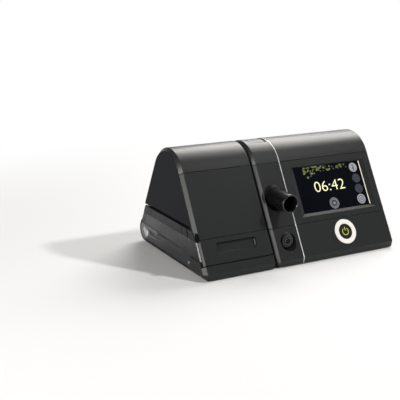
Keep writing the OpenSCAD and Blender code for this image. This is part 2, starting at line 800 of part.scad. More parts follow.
// upright duct from the return port to the outlet tube
module return_duct() color("#55585a") {
    x1 = unit_l + wall;
    x2 = tube_x + tube_d/2 + 2;
    y1 = duct_y1;
    y2 = return_c + air_w/2 + shell_t;
    z1 = air_z - air_h/2 - 2*shell_t;
    z2 = tube_z + tube_d/2 + 0.5;
    difference() {
        block(x1, x2, y1, y2, z1, z2);
        block(x1 + shell_t, x2 - shell_t, y1 + shell_t, y2 - shell_t, z1 + shell_t, z2 - shell_t);
        block(x1 - 1, x1 + shell_t + 1, return_c - air_w/2, return_c + air_w/2,
            air_z - air_h/2, air_z + air_h/2);
        facing_front(tube_x, y1 + shell_t + 1, tube_z) cylinder(r = tube_bore/2, h = 20);
    }
}

module flow_sensor() color("#27292b")
    block(unit_l + wall + 4, unit_l + wall + 20, supply_c - 8, supply_c + 8,
        max(air_z + air_h/2, blower_z + blower_h) + shell_t, max(air_z + air_h/2, blower_z + blower_h) + 8);

module silencer_foam() color("#4a4c50")
    block(blower_x + blower_r + 3, unit_r - 16, apex_y - 24, apex_y + 22, chassis_top, chassis_top + 34);

module filter_pad() color("#d9dadb") on_back(door_x, door_t) translate([0, -1.5, -pad_t - 4])
    linear_extrude(pad_t) square([door_w - 2, door_h - 6], center = true);

module filter_door() color(plastic_back) on_back(door_x, door_t) {
    difference() {
        union() {
            translate([-door_w/2, -door_h/2, -wall]) cube([door_w, door_pin_y + door_h/2, wall]);
            translate([-door_w/2, door_pin_y, door_pin_z]) rotate([0, 90, 0])
                cylinder(r = door_knuckle_r, h = door_w);
        }
        translate([-door_w, door_pin_y, door_pin_z]) rotate([0, 90, 0])
            cylinder(r = door_pin_r + 0.05, h = 2*door_w);
        for (k = [-1, 1]) translate([k*(door_w/2 - 4) - 2, door_pin_y - 2.4, -8]) cube([4, 9, 9]);
        for (k = [-3:3]) translate([k*5.6 - 1.2, -door_h/2 + 5, -9]) cube([2.4, door_h - 13, 18]);
    }
}

module door_hinge_pin() color("#9a9a96") on_back(door_x, door_t)
    translate([-door_w/2 + 1, door_pin_y, door_pin_z]) rotate([0, 90, 0])
    cylinder(r = door_pin_r, h = door_w - 2);

module card_slot() color("#27292b") difference() {
    block(unit_r - wall - card_l - 3, unit_r - wall, card_y - card_w/2 - card_slot_t - 0.3,
        card_y + card_w/2 + card_slot_t + 0.3, card_z - card_t/2 - card_slot_t - 0.3,
        card_z + card_t/2 + card_slot_t + 0.3);
    block(unit_r - wall - card_l, unit_r + 9, card_y - card_w/2 - 0.3, card_y + card_w/2 + 0.3,
        card_z - card_t/2 - 0.3, card_z + card_t/2 + 0.3);
}

module memory_card() color("#31466b")
    block(card_x, card_x + card_l, card_y - card_w/2, card_y + card_w/2, card_z - card_t/2, card_z + card_t/2);

module power_inlet() color("#1a1a1a") on_back(inlet_x, inlet_t) {
    difference() {
        translate([0, 0, -14]) cylinder(r = 6, h = 13);
        translate([0, 0, -12]) cylinder(r = inlet_d/2, h = 20);
    }
    translate([0, 0, -13]) cylinder(r = 0.8, h = 10);
}

module power_board() color("#1f5a3a") {
    block(unit_r - 56, unit_r - 10, apex_y + 26, body_d/2 - 26, chassis_top, chassis_top + 1.6);
    for (k = [0:2]) translate([unit_r - 48 + k*12, body_d/2 - 36, chassis_top + 1.5])
        cylinder(r = 4, h = 12);
}

module unit_feet() color(rubber) at_each(unit_foot_x, unit_foot_y, 0) cylinder(r = foot_r, h = floor_z);

module unit_screws() color("#8b8f91") at_each(unit_boss_x, unit_boss_y, floor_z + 0.1)
    screw(chassis_top - floor_z - 0.4);

module docking_connector() color("#27292b") difference() {
    block(hum_wall_l - 2, unit_l + wall + 8, connector_y - 8.6, connector_y + 8.6,
        connector_z + 0.4, connector_z + 8.6);
    for (k = [-1:1]) translate([hum_wall_l - 9, connector_y + k*5, connector_z + 4.5]) rotate([0, 90, 0])
        cylinder(r = 1.2, h = 14);
}

// ---- humidifier: base ----

module base_region() {
    polygon([
        [y_front - 6, floor_z - 2], front_at(sill_s - seam/2, 6), front_at(sill_s - seam/2, -12),
        [rear[0] - 16, deck_top], [rear[0] - 16, rear_wall_z], [body_d/2 + 9, rear_wall_z],
        [body_d/2 + 9, floor_z - 2]
    ]);
}

module humidifier_base() color(plastic_dark) {
    difference() {
        union() {
            casing(hum_l, hum_r, bevel, 0.8) base_region();
            // deck under the chamber, left and right walls
            intersection() {
                union() {
                    prism(side_x, hum_r - 0.9, wall - 0.1);
                    prism(hum_r - wall, hum_r, 0.8);
                }
                union() {
                    block(hum_l, hum_r, -body_d, body_d, deck_top - deck_t, deck_top);
                    block(side_x, side_x + wall, -body_d, body_d, 0, deck_top);
                    block(hum_r - wall, hum_r, -body_d, body_d, 0, deck_top);
                    block(side_x, hum_r, -body_d, front_y(deck_top, wall + 0.6) + wall, 0, deck_top);
                }
                along_x(hum_l, hum_r) union() {
                    front_region(0, sill_s - seam/2, 30);
                    translate([front_y(deck_top, wall + 0.6), 0]) square([body_d, deck_top]);
                }
            }
            // corner piece beside the chamber's end plate
            intersection() {
                body(hum_l, side_x + 4, 0, bevel, 0);
                union() {
                    block(hum_l - 1, side_x + wall, y_front - 1, y_front + corner_l, floor_z - 1, sill_z);
                    intersection() {
                        block(hum_l - 1, side_x + wall, y_front, y_front + corner_l, floor_z, corner_z);
                        prism(hum_l - 1, side_x + wall, bevel + 0.5);
                    }
                }
            }
            for (y = tongue_y) block(hum_r - wall, unit_l + wall + 3, y - 7, y + 7, 8, 12);
        }
        // room for the chamber's end plate
        difference() {
            prism(hum_l - 1, side_x, plate_in - 0.4);
            block(hum_l - 2, side_x + 1, y_front - 1, y_front + corner_l, 0, corner_z);
            block(hum_l - 2, side_x + 1, -body_d, body_d, 0, plate_low - 0.4);
        }
        block(hum_l - 2, side_x, -body_d, body_d, tank_z + 8, 99);
        translate([hum_mid, 0, deck_top - 9]) cylinder(r = heat_d/2 + 3, h = 20);
        at_each(hum_boss_x, hum_boss_y, floor_z - 1) cylinder(r = head_r + 0.2, h = wall + 2);
    }
    at_each(hum_boss_x, hum_boss_y, floor_z) screw_boss(deck_top - deck_t);
    // hinge knuckles on posts
    for (x = base_knuckles) difference() {
        union() {
            translate([x - knuckle_l/2, hinge_y, hinge_z]) rotate([0, 90, 0]) cylinder(r = knuckle_r, h = knuckle_l);
            block(x - knuckle_l/2, x + knuckle_l/2, hinge_y - 0.7, hinge_y + knuckle_r - 0.1,
                rear_wall_z - 4, hinge_z);
            block(x - knuckle_l/2, x + knuckle_l/2, hinge_y, back_y(rear_wall_z - 4, wall) + 0.4,
                rear_wall_z - 4, rear_wall_z);
        }
        hinge_bore(pin_r + 0.05);
    }
}

module hinge_bore(r) {
    translate([hum_l - 9, hinge_y, hinge_z]) rotate([0, 90, 0]) cylinder(r = r, h = hum_w + 18);
}

module humidifier_docking_wall() color(plastic_dark) difference() {
    intersection() {
        prism(hum_wall_l, hum_wall_r, hum_wall_in);
        block(hum_wall_l, hum_wall_r, -body_d, body_d, deck_top, body_h);
    }
    for (y = [supply_c, return_c]) block(hum_wall_l - 1, hum_wall_r + 1, y - air_w/2 - air_rim - 0.1,
        y + air_w/2 + air_rim + 0.1, air_z - air_h/2 - air_rim - 0.1, air_z + air_h/2 + air_rim + 0.1);
    latch_window();
    connector_window();
    // room for the lid's lower edge as it swings
    hinge_bore(swing_r + 0.9);
}

module docking_seals() color(rubber) for (y = [supply_c, return_c]) difference() {
    block(tank_r + 0.3, unit_l, y - air_w/2 - air_rim, y + air_w/2 + air_rim,
        air_z - air_h/2 - air_rim, air_z + air_h/2 + air_rim);
    block(tank_r - 1, unit_l + 1, y - air_w/2, y + air_w/2, air_z - air_h/2, air_z + air_h/2);
}

module heater_plate() color("#b9bcbd") translate([hum_mid, 0, deck_top - deck_t - 1])
    cylinder(r = heat_d/2 + 2.8, h = deck_t + 1);

module heater_board() color("#1f5a3a") {
    block(hum_mid - 26, hum_mid + 30, -28, 28, floor_z + wall, floor_z + wall + 1.6);
    translate([hum_mid, 0, floor_z + wall + 1.5]) cylinder(r = 14, h = deck_top - deck_t - 1 - floor_z - wall - 1.5);
}

module lid_hinge_pin() color("#9a9a96") translate([base_knuckles[0] - knuckle_l/2 - 1, hinge_y, hinge_z])
    rotate([0, 90, 0]) cylinder(r = pin_r, h = base_knuckles[2] - base_knuckles[0] + knuckle_l + 2);

module humidifier_feet() color(rubber) at_each(hum_foot_x, hum_foot_y, 0) cylinder(r = foot_r, h = floor_z);

module humidifier_screws() color("#8b8f91") at_each(hum_boss_x, hum_boss_y, floor_z + 0.1)
    screw(deck_top - deck_t - floor_z - 1);

// ---- humidifier: lid ----

module lid_cap_region() {
    s = cap_s + seam/2;
    polygon([
        front_at(s, 6), front_at(s, -20), [apex_y, cheek_z], [body_d/2 + 9, cheek_z],
        [body_d/2 + 9, body_h + 9], [front_at(s, 6)[0], body_h + 9]
    ]);
}

module lid_cap() color(plastic) {
    difference() {
        casing(hum_l, hum_r, bevel, 0.8) lid_cap_region();
        for (x = base_knuckles) translate([x - knuckle_l/2 - 0.4, hinge_y, hinge_z]) rotate([0, 90, 0])
            cylinder(r = swing_r, h = knuckle_l + 0.8);
        hinge_bore(pin_r + 0.6);
    }
    for (x = lid_knuckles) difference() {
        translate([x - knuckle_l/2, hinge_y, hinge_z]) rotate([0, 90, 0]) cylinder(r = knuckle_r, h = knuckle_l);
        hinge_bore(pin_r + 0.08);
    }
}

// the lid's panels lose the inner half of their bevel beside the chamber
module below_cheek_cut() {
    block(hum_l - 1, hum_l + bevel/2, -body_d, 0, 0, tank_seam_z + 4);
    intersection() {
        prism(hum_l - 1, plate_r + 0.4, plate_in - 0.4);
        block(hum_l - 1, plate_r + 0.4, -body_d, 0, 0, tank_top_z + 0.4);
    }
}

module lid_front_panel() color(plastic) difference() {
    casing(hum_l, hum_r, bevel, 0.8) front_region(low_s + seam/2, cap_s - seam/2);
    below_cheek_cut();
}

module lid_handle_panel() color(plastic) difference() {
    union() {
        casing(hum_l, hum_r, bevel, 0.8) front_region(sill_s + seam/2, low_s - seam/2);
        grip_at() translate([0, 0, -grip_d - 1.2])
            rounded_slab(grip_w + 3, grip_h + 3, grip_r + 1.5, grip_d + 1.3 - wall);
    }
    grip_at() translate([0, 0, -grip_d]) rounded_slab(grip_w, grip_h, grip_r, grip_d + 5);
    below_cheek_cut();
}

module grip_at() {
    on_front(hum_l + grip_off + grip_w/2, grip_s + grip_h/2) children();
}

module lid_cheek() color(plastic_dark) difference() {
    prism(hum_l, hum_l + wall, bevel + fit);
    along_x(hum_l - 1, hum_l + wall + 1) offset(r = 6) offset(delta = -6) intersection() {
        translate([-body_d, -9]) square([2*body_d, cheek_z + 9]);
        polygon(outline(bevel + 4));
    }
    block(hum_l - 1, hum_l + wall + 1, -body_d, body_d, -1, tank_top_z + 0.4);
    block(hum_l - 1, hum_l + wall + 1, 0, body_d, -1, cheek_z);
}

// ---- humidifier: water chamber ----

module end_plate(z1, z2) difference() {
    intersection() {
        loft([[plate_l, plate_in + plate_bevel], [plate_l + plate_bevel, plate_in], [plate_r, plate_in]]);
        block(plate_l, plate_r, -body_d, body_d, z1, z2);
    }
    // clear of the base's corner piece
    block(hum_l, plate_r + 1, -body_d, y_front + corner_l + 0.4, -9, corner_z + 0.4);
}

module tank_part(x1, x2, i, z1, z2) intersection() {
    prism(x1, x2, i);
    block(x1, x2, -body_d, body_d, z1, z2);
}

module water_tank() color(smoke) difference() {
    union() {
        end_plate(0, tank_seam_z - seal_t/2);
        tank_part(plate_r - 0.1, tank_r, tank_in, tank_z, tank_seam_z - seal_t/2);
    }
    difference() {
        tank_part(plate_r, tank_r - tank_wall, tank_in + tank_wall, tank_z + tank_wall, body_h);
        // baffles that guide the air over the water
        for (y = [y_front + 115, y_front + 65]) block(plate_r - 1, tank_r - 30, y - 0.8, y + 0.8,
            tank_z, tank_seam_z - 3);
    }
    translate([hum_mid, 0, tank_z - 1]) cylinder(r = heat_d/2 + fit, h = 9);
}

module tank_lid() color("#3c3f41") difference() {
    union() {
        end_plate(tank_seam_z + seal_t/2, tank_top_z);
        tank_part(plate_r - 0.1, tank_r, tank_lid_in, tank_seam_z + seal_t/2, tank_top_z);
    }
    tank_part(plate_r, tank_r - tank_wall, tank_lid_in + tank_wall, 0, tank_top_z - tank_wall);
    for (y = [supply_c, return_c]) block(tank_r - 9, tank_r + 1, y - air_w/2, y + air_w/2,
        air_z - air_h/2, air_z + air_h/2);
    // grooves of the lid's clip
    for (y = [y_front + 41, y_front + 53, y_front + 140]) block(hum_l, plate_l + 0.5, y - 0.3, y + 0.3, 0, 99);
}

module tank_seal() color(rubber) difference() {
    tank_part(plate_r - 1.4, tank_r, tank_in + 0.1, tank_seam_z - seal_t/2, tank_seam_z + seal_t/2);
    tank_part(plate_r, tank_r - tank_wall, tank_lid_in + tank_wall, 0, body_h);
}

module tank_heat_plate() color("#c9cccd") translate([hum_mid, 0, tank_z]) cylinder(r = heat_d/2, h = tank_wall - 0.4);

unit_base();
top_cover();
display_panel();
lower_front_panel();
port_top_cover();
port_upper_panel();
port_lower_panel();
trim_strip();
rear_cover();
right_side_plate();
docking_wall();
display_glass();
power_ring();
power_button();
outlet_tube();
outlet_collar();
hose_socket();
release_button();
filter_door();
card_slot();
memory_card();
power_inlet();
unit_feet();
unit_screws();
chassis_plate();
display_module();
main_board();
power_switch();
blower_housing();
impeller();
blower_motor();
blower_mounts();
supply_duct();
return_duct();
flow_sensor();
silencer_foam();
filter_pad();
latch_hook();
latch_spring();
docking_connector();
power_board();
humidifier_base();
humidifier_docking_wall();
lid_cap();
lid_front_panel();
lid_handle_panel();
lid_cheek();
lid_hinge_pin();
door_hinge_pin();
water_tank();
tank_lid();
tank_seal();
tank_heat_plate();
heater_plate();
heater_board();
docking_seals();
humidifier_feet();
humidifier_screws();
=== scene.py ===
import json
from math import cos, pi, radians, sin, tan

import bmesh
import bpy
from mathutils import Matrix, Vector

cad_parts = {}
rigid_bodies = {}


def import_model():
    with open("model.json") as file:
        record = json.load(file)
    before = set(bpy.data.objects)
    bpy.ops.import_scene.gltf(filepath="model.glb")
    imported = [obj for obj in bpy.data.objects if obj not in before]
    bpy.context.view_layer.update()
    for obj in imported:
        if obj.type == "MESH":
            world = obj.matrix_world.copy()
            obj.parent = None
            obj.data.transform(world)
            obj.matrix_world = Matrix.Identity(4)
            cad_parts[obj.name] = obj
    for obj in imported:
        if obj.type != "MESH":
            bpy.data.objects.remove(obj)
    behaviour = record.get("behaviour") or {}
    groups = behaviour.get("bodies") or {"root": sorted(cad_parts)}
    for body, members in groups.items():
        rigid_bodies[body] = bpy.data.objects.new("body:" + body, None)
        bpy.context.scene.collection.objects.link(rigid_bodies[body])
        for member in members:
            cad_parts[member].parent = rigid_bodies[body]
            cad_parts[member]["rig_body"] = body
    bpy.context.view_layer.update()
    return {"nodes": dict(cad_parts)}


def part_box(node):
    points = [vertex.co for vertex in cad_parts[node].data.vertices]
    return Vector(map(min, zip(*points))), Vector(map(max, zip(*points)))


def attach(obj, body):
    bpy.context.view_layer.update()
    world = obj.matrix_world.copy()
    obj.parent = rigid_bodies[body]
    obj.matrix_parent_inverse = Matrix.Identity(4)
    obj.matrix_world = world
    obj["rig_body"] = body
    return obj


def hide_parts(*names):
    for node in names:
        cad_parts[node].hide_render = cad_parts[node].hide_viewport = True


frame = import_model()
scene = bpy.context.scene

# Studio: the photograph's camera, a pale floor in a white surround, and soft lamps.
# The broad lamp behind the crest gives the long sheen on the covers, and the left lamp
# lights the bevels. The small lamp at the right front throws the tube's shadow.
camera = bpy.data.objects.new("camera", bpy.data.cameras.new("camera"))
camera.location = (-0.51705, -0.7937, 0.3086)
camera.rotation_euler = (radians(75.014), 0, radians(-28.204))
camera.data.lens = 71.64
camera.data.sensor_width = 36
scene.collection.objects.link(camera)
scene.camera = camera
scene.view_settings.view_transform = "Standard"
LAMP_AIM = Vector((0, 0, 0.06))
KEY_PLACE, KEY_SIZE = (0.62, -0.66, 0.98), (0.1, 0.1)


def lamp(name, place, size, watts, tint=(1, 1, 1), mirrored=True):
    """Rectangular lamp aimed at the machine. mirrored says whether gloss reflects it."""
    light = bpy.data.lights.new(name, "AREA")
    light.shape = "RECTANGLE"
    light.size, light.size_y = size
    light.energy = watts
    light.color = tint
    obj = bpy.data.objects.new(name, light)
    obj.location = place
    obj.rotation_euler = (LAMP_AIM - obj.location).to_track_quat("-Z", "Y").to_euler()
    obj.visible_glossy = mirrored
    scene.collection.objects.link(obj)


lamp("crest_lamp", (0.74, 0.62, 1.04), (1.0, 0.66), 22, (1, 0.98, 0.95))
lamp("left_lamp", (-1.22, -0.53, 0.47), (0.46, 0.46), 16, (1, 0.98, 0.94))
lamp("key_lamp", KEY_PLACE, KEY_SIZE, 12, mirrored=False)
lamp("key_sheen", KEY_PLACE, KEY_SIZE, 1.5)


class Signal:
    """A value in a node tree: sums, products and comparisons on it add Math nodes, and wire
    adds any other node."""

    def __init__(self, tree, socket):
        self.tree, self.socket = tree, socket

    @staticmethod
    def wire(tree, kind, settings=None, sockets=None, out=0):
        """Adds one node: its settings and ramp stops first, then its sockets' values or links."""
        made = tree.nodes.new(kind)
        for key, value in (settings or {}).items():
            if key == "stops":
                ramp = made.color_ramp.elements
                for place, (at, colour) in enumerate(value):
                    stop = ramp[place] if place < 2 else ramp.new(at)
                    stop.position, stop.color = at, (*colour, 1)
            else:
                setattr(made, key, value)
        for key, value in (sockets or {}).items():
            if isinstance(value, (Signal, list)):
                for one in value if isinstance(value, list) else [value]:
                    one.into(made, key)
            else:
                made.inputs[key].default_value = value
        return Signal(tree, made.outputs[out])

    def into(self, node, socket):
        self.tree.links.new(self.socket, node.inputs[socket])

    def other(self, name):
        """Another output of the same node."""
        return Signal(self.tree, self.socket.node.outputs[name])

    def math(self, operation, *values):
        return wire(self.tree, "ShaderNodeMath", {"operation": operation},
                    dict(enumerate(values)))

    def __add__(self, other):
        return self.math("ADD", self, other)

    def __sub__(self, other):
        return self.math("SUBTRACT", self, other)

    def __rsub__(self, other):
        return self.math("SUBTRACT", other, self)

    def __mul__(self, other):
        return self.math("MULTIPLY", self, other)

    def __gt__(self, other):
        return self.math("GREATER_THAN", self, other)

    __radd__ = __add__
    __rmul__ = __mul__


wire = Signal.wire


def eased(value, start, end, low=0.0, high=1.0):
    """Smooth step of a value: low up to start, high from end on."""
    return wire(value.tree, "ShaderNodeMapRange", {"interpolation_type": "SMOOTHSTEP"},
                {"Value": value, "From Min": start, "From Max": end,
                 "To Min": low, "To Max": high})


def backdrop_rays(tree, seen_in_gloss=1.0):
    """1 where the camera, or a reflection or clear piece, looks at the background."""
    rays = wire(tree, "ShaderNodeLightPath")
    mirrored = (rays.other("Is Glossy Ray") + rays.other("Is Transmission Ray")) > 0.5
    return rays.math("MAXIMUM", rays, mirrored * seen_in_gloss)


SKY_FILL = 0.2
world = bpy.data.worlds.new("studio")
scene.world = world
world.use_nodes = True
sky = world.node_tree
height = wire(sky, "ShaderNodeSeparateXYZ", {}, {0: wire(sky, "ShaderNodeTexCoord")}, out=2)
sweep = eased(height, 0.12, 0.42, 1.0, 0.04)
strength = backdrop_rays(sky, sweep) * (1 - SKY_FILL) + SKY_FILL
strength.into(sky.nodes["Background"], "Strength")
sky.nodes["Background"].inputs["Color"].default_value = (1, 1, 1, 1)

FLOOR_REACH, FLOOR_GREY = 8, 0.6
FADE_FROM, FADE_TO = 0.22, 0.75
floor_mesh = bmesh.new()
bmesh.ops.create_grid(floor_mesh, x_segments=1, y_segments=1, size=FLOOR_REACH)
floor = bpy.data.objects.new("floor", bpy.data.meshes.new("floor"))
floor_mesh.to_mesh(floor.data)
floor_mesh.free()
scene.collection.objects.link(floor)
floor_paint = bpy.data.materials.new("floor")
floor_paint.use_nodes = True
ground = floor_paint.node_tree
matte = ground.nodes["Principled BSDF"]
matte.inputs["Base Color"].default_value = (FLOOR_GREY, FLOOR_GREY, FLOOR_GREY, 1)
matte.inputs["Roughness"].default_value = 0.9
matte.inputs["Specular IOR Level"].default_value = 0.1
floor_spot = wire(ground, "ShaderNodeTexCoord").other("Object")
reach = wire(ground, "ShaderNodeVectorMath", {"operation": "LENGTH"}, {0: floor_spot})
fade = eased(reach.other("Value"), FADE_FROM, FADE_TO)
glow = wire(ground, "ShaderNodeEmission", {}, {"Color": (1, 1, 1, 1), "Strength": 1.0})
faded = wire(ground, "ShaderNodeMixShader", {}, {0: fade * backdrop_rays(ground),
                                                 1: Signal(ground, matte.outputs[0]), 2: glow})
faded.into(ground.nodes["Material Output"], "Surface")
floor.data.materials.append(floor_paint)

# Top covers of the therapy unit: two injection-moulded shells of black polymer with a fine
# spark-eroded grain, split by the silver strip. They hook over the inner frame at the crest,
# and the left one has a hole for the release button.
MM = 0.001
SLOPE, BACK_ANGLE, CREST_R = radians(60.5), radians(28.379), 38.4
BEND, CREST = Vector((-87.5, 8.8)), Vector((4.767, 93.9))
FRONT_OUT = Vector((-sin(SLOPE), cos(SLOPE)))
FRONT_UP = Vector((cos(SLOPE), sin(SLOPE)))
BACK_OUT = Vector((cos(BACK_ANGLE), sin(BACK_ANGLE)))
BACK_DOWN = Vector((sin(BACK_ANGLE), -cos(BACK_ANGLE)))
UNIT_LEFT, UNIT_RIGHT = -38.25, 132.45
STRIP_LEFT, STRIP_RIGHT, STRIP_GAP = -2.55, -1.6, 0.1
BEVEL, WALL = 4.0, 2.4
TOP_SEAM, REAR_SEAM, HALF_SEAM = 116.2, 12.0, 0.25
RELEASE_LEFT, RELEASE_WIDTH, RELEASE_Y1, RELEASE_Y2 = -27.45, 20.0, -6.6, 17.4
RELEASE_GAP, RELEASE_GRIP = 0.4, 2.4


def on_front(s):
    """Point and inward direction on the side profile, s up the front from its lower bend."""
    return BEND + s * FRONT_UP, -FRONT_OUT


def on_back(t):
    return CREST + CREST_R * BACK_OUT + t * BACK_DOWN, -BACK_OUT


def on_crest(steps=40):
    first, last = pi / 2 + SLOPE, BACK_ANGLE
    ways = [first + (last - first) * k / steps for k in range(steps + 1)]
    return [(CREST + CREST_R * Vector((cos(a), sin(a))), -Vector((cos(a), sin(a)))) for a in ways]


def moulding(path, left, right, left_bevel=0.0, right_bevel=0.0, wall=WALL):
    """Wall of a housing: path runs along the side profile, left and right are its ends in x."""
    skins = []
    for inset in (0, wall):
        rings = []
        if left_bevel:
            rings.append((left + min(inset, left_bevel), max(left_bevel, inset)))
        rings += [(left + left_bevel, inset), (right - right_bevel, inset)]
        if right_bevel:
            rings.append((right - (inset if inset < right_bevel else 0), max(right_bevel, inset)))
        skins.append(rings)
    mesh = bmesh.new()
    outer, inner = [[[mesh.verts.new(MM * Vector((x, *(p + inset * d)))) for p, d in path]
                     for x, inset in rings] for rings in skins]
    last_x, last_p = len(outer) - 1, len(path) - 1
    for skin in (outer, inner):
        for i in range(last_x):
            for k in range(last_p):
                mesh.faces.new((skin[i][k], skin[i + 1][k], skin[i + 1][k + 1], skin[i][k + 1]))
    for k in (0, last_p):
        for i in range(last_x):
            mesh.faces.new((outer[i][k], outer[i + 1][k], inner[i + 1][k], inner[i][k]))
    for i in (0, last_x):
        for k in range(last_p):
            mesh.faces.new((outer[i][k], outer[i][k + 1], inner[i][k + 1], inner[i][k]))
    bmesh.ops.recalc_face_normals(mesh, faces=mesh.faces)
    return mesh


def loft(rings, closed=False, caps=True):
    """Skin through rings of points. closed joins the last ring to the first."""
    mesh = bmesh.new()
    loops = [[mesh.verts.new(p) for p in ring] for ring in rings]
    count = len(loops[0])
    pairs = list(zip(loops, loops[1:])) + ([(loops[-1], loops[0])] if closed else [])
    for low, high in pairs:
        for k in range(count):
            n = (k + 1) % count
            mesh.faces.new((low[k], low[n], high[n], high[k]))
    if caps and not closed:
        mesh.faces.new(loops[0][::-1])
        mesh.faces.new(loops[-1])
    bmesh.ops.recalc_face_normals(mesh, faces=mesh.faces)
    return mesh


def block(x1, x2, y1, y2, z1, z2):
    return loft([[MM * Vector(p) for p in ((x1, y1, z), (x2, y1, z), (x2, y2, z), (x1, y2, z))]
                 for z in (z1, z2)])


def to_object(mesh, name):
    data = bpy.data.meshes.new(name)
    mesh.to_mesh(data)
    mesh.free()
    made = bpy.data.objects.new(name, data)
    scene.collection.objects.link(made)
    return made


def evaluated_mesh(obj):
    """What an object's modifiers or curve make of it, as a plain mesh to work on."""
    graph = bpy.context.evaluated_depsgraph_get()
    data = bpy.data.meshes.new_from_object(obj.evaluated_get(graph))
    mesh = bmesh.new()
    mesh.from_mesh(data)
    bpy.data.meshes.remove(data)
    return mesh


def discard(obj):
    data = obj.data
    bpy.data.objects.remove(obj)
    bpy.data.meshes.remove(data)


def joined(meshes):
    """One mesh of several closed ones."""
    whole = bmesh.new()
    for mesh in meshes:
        data = bpy.data.meshes.new("part")
        mesh.to_mesh(data)
        mesh.free()
        whole.from_mesh(data)
        bpy.data.meshes.remove(data)
    return whole


def carved(mesh, cutters):
    """The mesh with the closed cutters taken away."""
    body = to_object(mesh, "blank")
    tool = to_object(joined(cutters), "tool")
    cut = body.modifiers.new("cut", "BOOLEAN")
    cut.object = tool
    cut.solver = "EXACT"
    cut.use_self = True
    result = evaluated_mesh(body)
    discard(body)
    discard(tool)
    bmesh.ops.remove_doubles(result, verts=result.verts, dist=0.002 * MM)
    bmesh.ops.dissolve_limit(result, angle_limit=radians(0.5), verts=result.verts,
                             edges=result.edges)
    return result


def piece(name, mesh, paint, stands_for=None, rounding=0.3, angle=32, body="housing", segments=3):
    """Finishes a mesh as one piece: rounded edges, even shading, material, body, CAD node."""
    made = to_object(mesh, name)
    data = made.data
    data.polygons.foreach_set("use_smooth", [True] * len(data.polygons))
    data.set_sharp_from_angle(angle=radians(angle))
    data.materials.append(paint)
    if rounding:
        edge = made.modifiers.new("rounded", "BEVEL")
        edge.width = rounding * MM
        edge.segments = segments
        edge.limit_method = "ANGLE"
        edge.angle_limit = radians(angle)
        even = made.modifiers.new("even", "WEIGHTED_NORMAL")
        even.keep_sharp = True
    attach(made, body)
    if stands_for:
        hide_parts(stands_for)
    return made


def noise(place, scale, detail=2.0, roughness=0.5):
    return wire(place.tree, "ShaderNodeTexNoise", {},
                {"Vector": place, "Scale": scale, "Detail": detail, "Roughness": roughness})


def mixed(mask, low, high):
    """Colour that goes from low to high with a mask."""
    return wire(mask.tree, "ShaderNodeMix", {"data_type": "RGBA"},
                {0: mask, 6: (*low, 1), 7: (*high, 1)}, out=2)


def toned(colour, share):
    return [share * c for c in colour]


def finish(name, colour, rough, grain=0.0, grain_size=0.35, mottle=0.1, rub=0.0, slot=None,
           **fixed):
    """Moulded or machined surface: faint cloudiness, fine grain of a size in millimetres,
    and rub marks that vary the gloss. fixed values go straight to the shader's sockets."""
    paint = bpy.data.materials.new(name)
    paint.use_nodes = True
    tree = paint.node_tree
    shader = tree.nodes["Principled BSDF"]
    place = wire(tree, "ShaderNodeTexCoord").other("Object")
    pits = noise(place, 1000 / grain_size)
    cloud = noise(place, 38.0, 5.0)
    smear = noise(place, 14.0, 6.0, 0.7)
    tone = mixed(cloud * 0.7 + pits * 0.3, toned(colour, 1 - mottle), toned(colour, 1 + mottle))
    tone.into(shader, "Base Color")
    (rough + (pits - 0.5) * 0.08 + (smear - 0.5) * rub).into(shader, "Roughness")
    if grain:
        bump = wire(tree, "ShaderNodeBump", {},
                    {"Height": pits, "Strength": grain, "Distance": 0.1 * MM})
        bump.into(shader, "Normal")
    for key, value in fixed.items():
        shader.inputs[key.replace("_", " ")].default_value = value
    paint["slot"] = slot or name
    return paint


casing_top = finish("casing_top", (0.0088, 0.0094, 0.0092), 0.4, grain=0.35, rub=0.06,
                    slot="casing_plastic", Specular_IOR_Level=0.45)
cover_path = [on_front(TOP_SEAM + HALF_SEAM)] + on_crest() + [on_back(REAR_SEAM - HALF_SEAM)]
piece("top_cover_shell", moulding(cover_path, STRIP_RIGHT + STRIP_GAP, UNIT_RIGHT, 0, BEVEL),
      casing_top, "top_cover", 0.4)
release_hole = block(RELEASE_LEFT - RELEASE_GAP, RELEASE_LEFT + RELEASE_WIDTH + RELEASE_GRIP,
                     RELEASE_Y1 - RELEASE_GAP, RELEASE_Y2 + RELEASE_GAP, 94, 140)
port_top = moulding(cover_path, UNIT_LEFT, STRIP_LEFT - STRIP_GAP, BEVEL)
piece("port_top_shell", carved(port_top, [release_hole]), casing_top, "port_top_cover", 0.3)

# Silver strip: a thin satin trim of metallized polymer that follows the whole profile between
# the two halves of the casing. Its foot turns under the front edge with the lower panels.
LIP_TILT, LOW_SEAM = radians(10.9), 39.0
LIP_OUT = Vector((-cos(LIP_TILT), -sin(LIP_TILT)))
TOE, SOLE_BACK = Vector((-86.094, 1.5)), Vector((-75.5, 1.5))


def mitre(out1, out2):
    return -(out1 + out2) / (1 + out1.dot(out2))


lip = [(BEND, mitre(FRONT_OUT, LIP_OUT)), (TOE, mitre(LIP_OUT, Vector((0, -1)))),
       (SOLE_BACK, Vector((0, 1)))]
strip_path = [on_back(REAR_SEAM)] + on_crest()[::-1] + [on_front(LOW_SEAM)] + lip
silver = finish("silver_trim", (0.62, 0.62, 0.6), 0.36, grain=0.1, rub=0.1, Metallic=0.55)
piece("silver_strip", moulding(strip_path, STRIP_LEFT, STRIP_RIGHT), silver, "trim_strip", 0.25)

# Lower front panel: a grained black moulding that wraps the bend and the front foot, and is
# clipped to the base. A round cup moulded in it seats the white ring of the power button.
POWER_X, POWER_S = 64.15, 21.4
RING_SEAT, CUP_R, KEY_HOLE = 15.15, 17, 11.3
CUP_TOP, CUP_FLOOR, CUP_BASE = -2.3, -4, -5.5


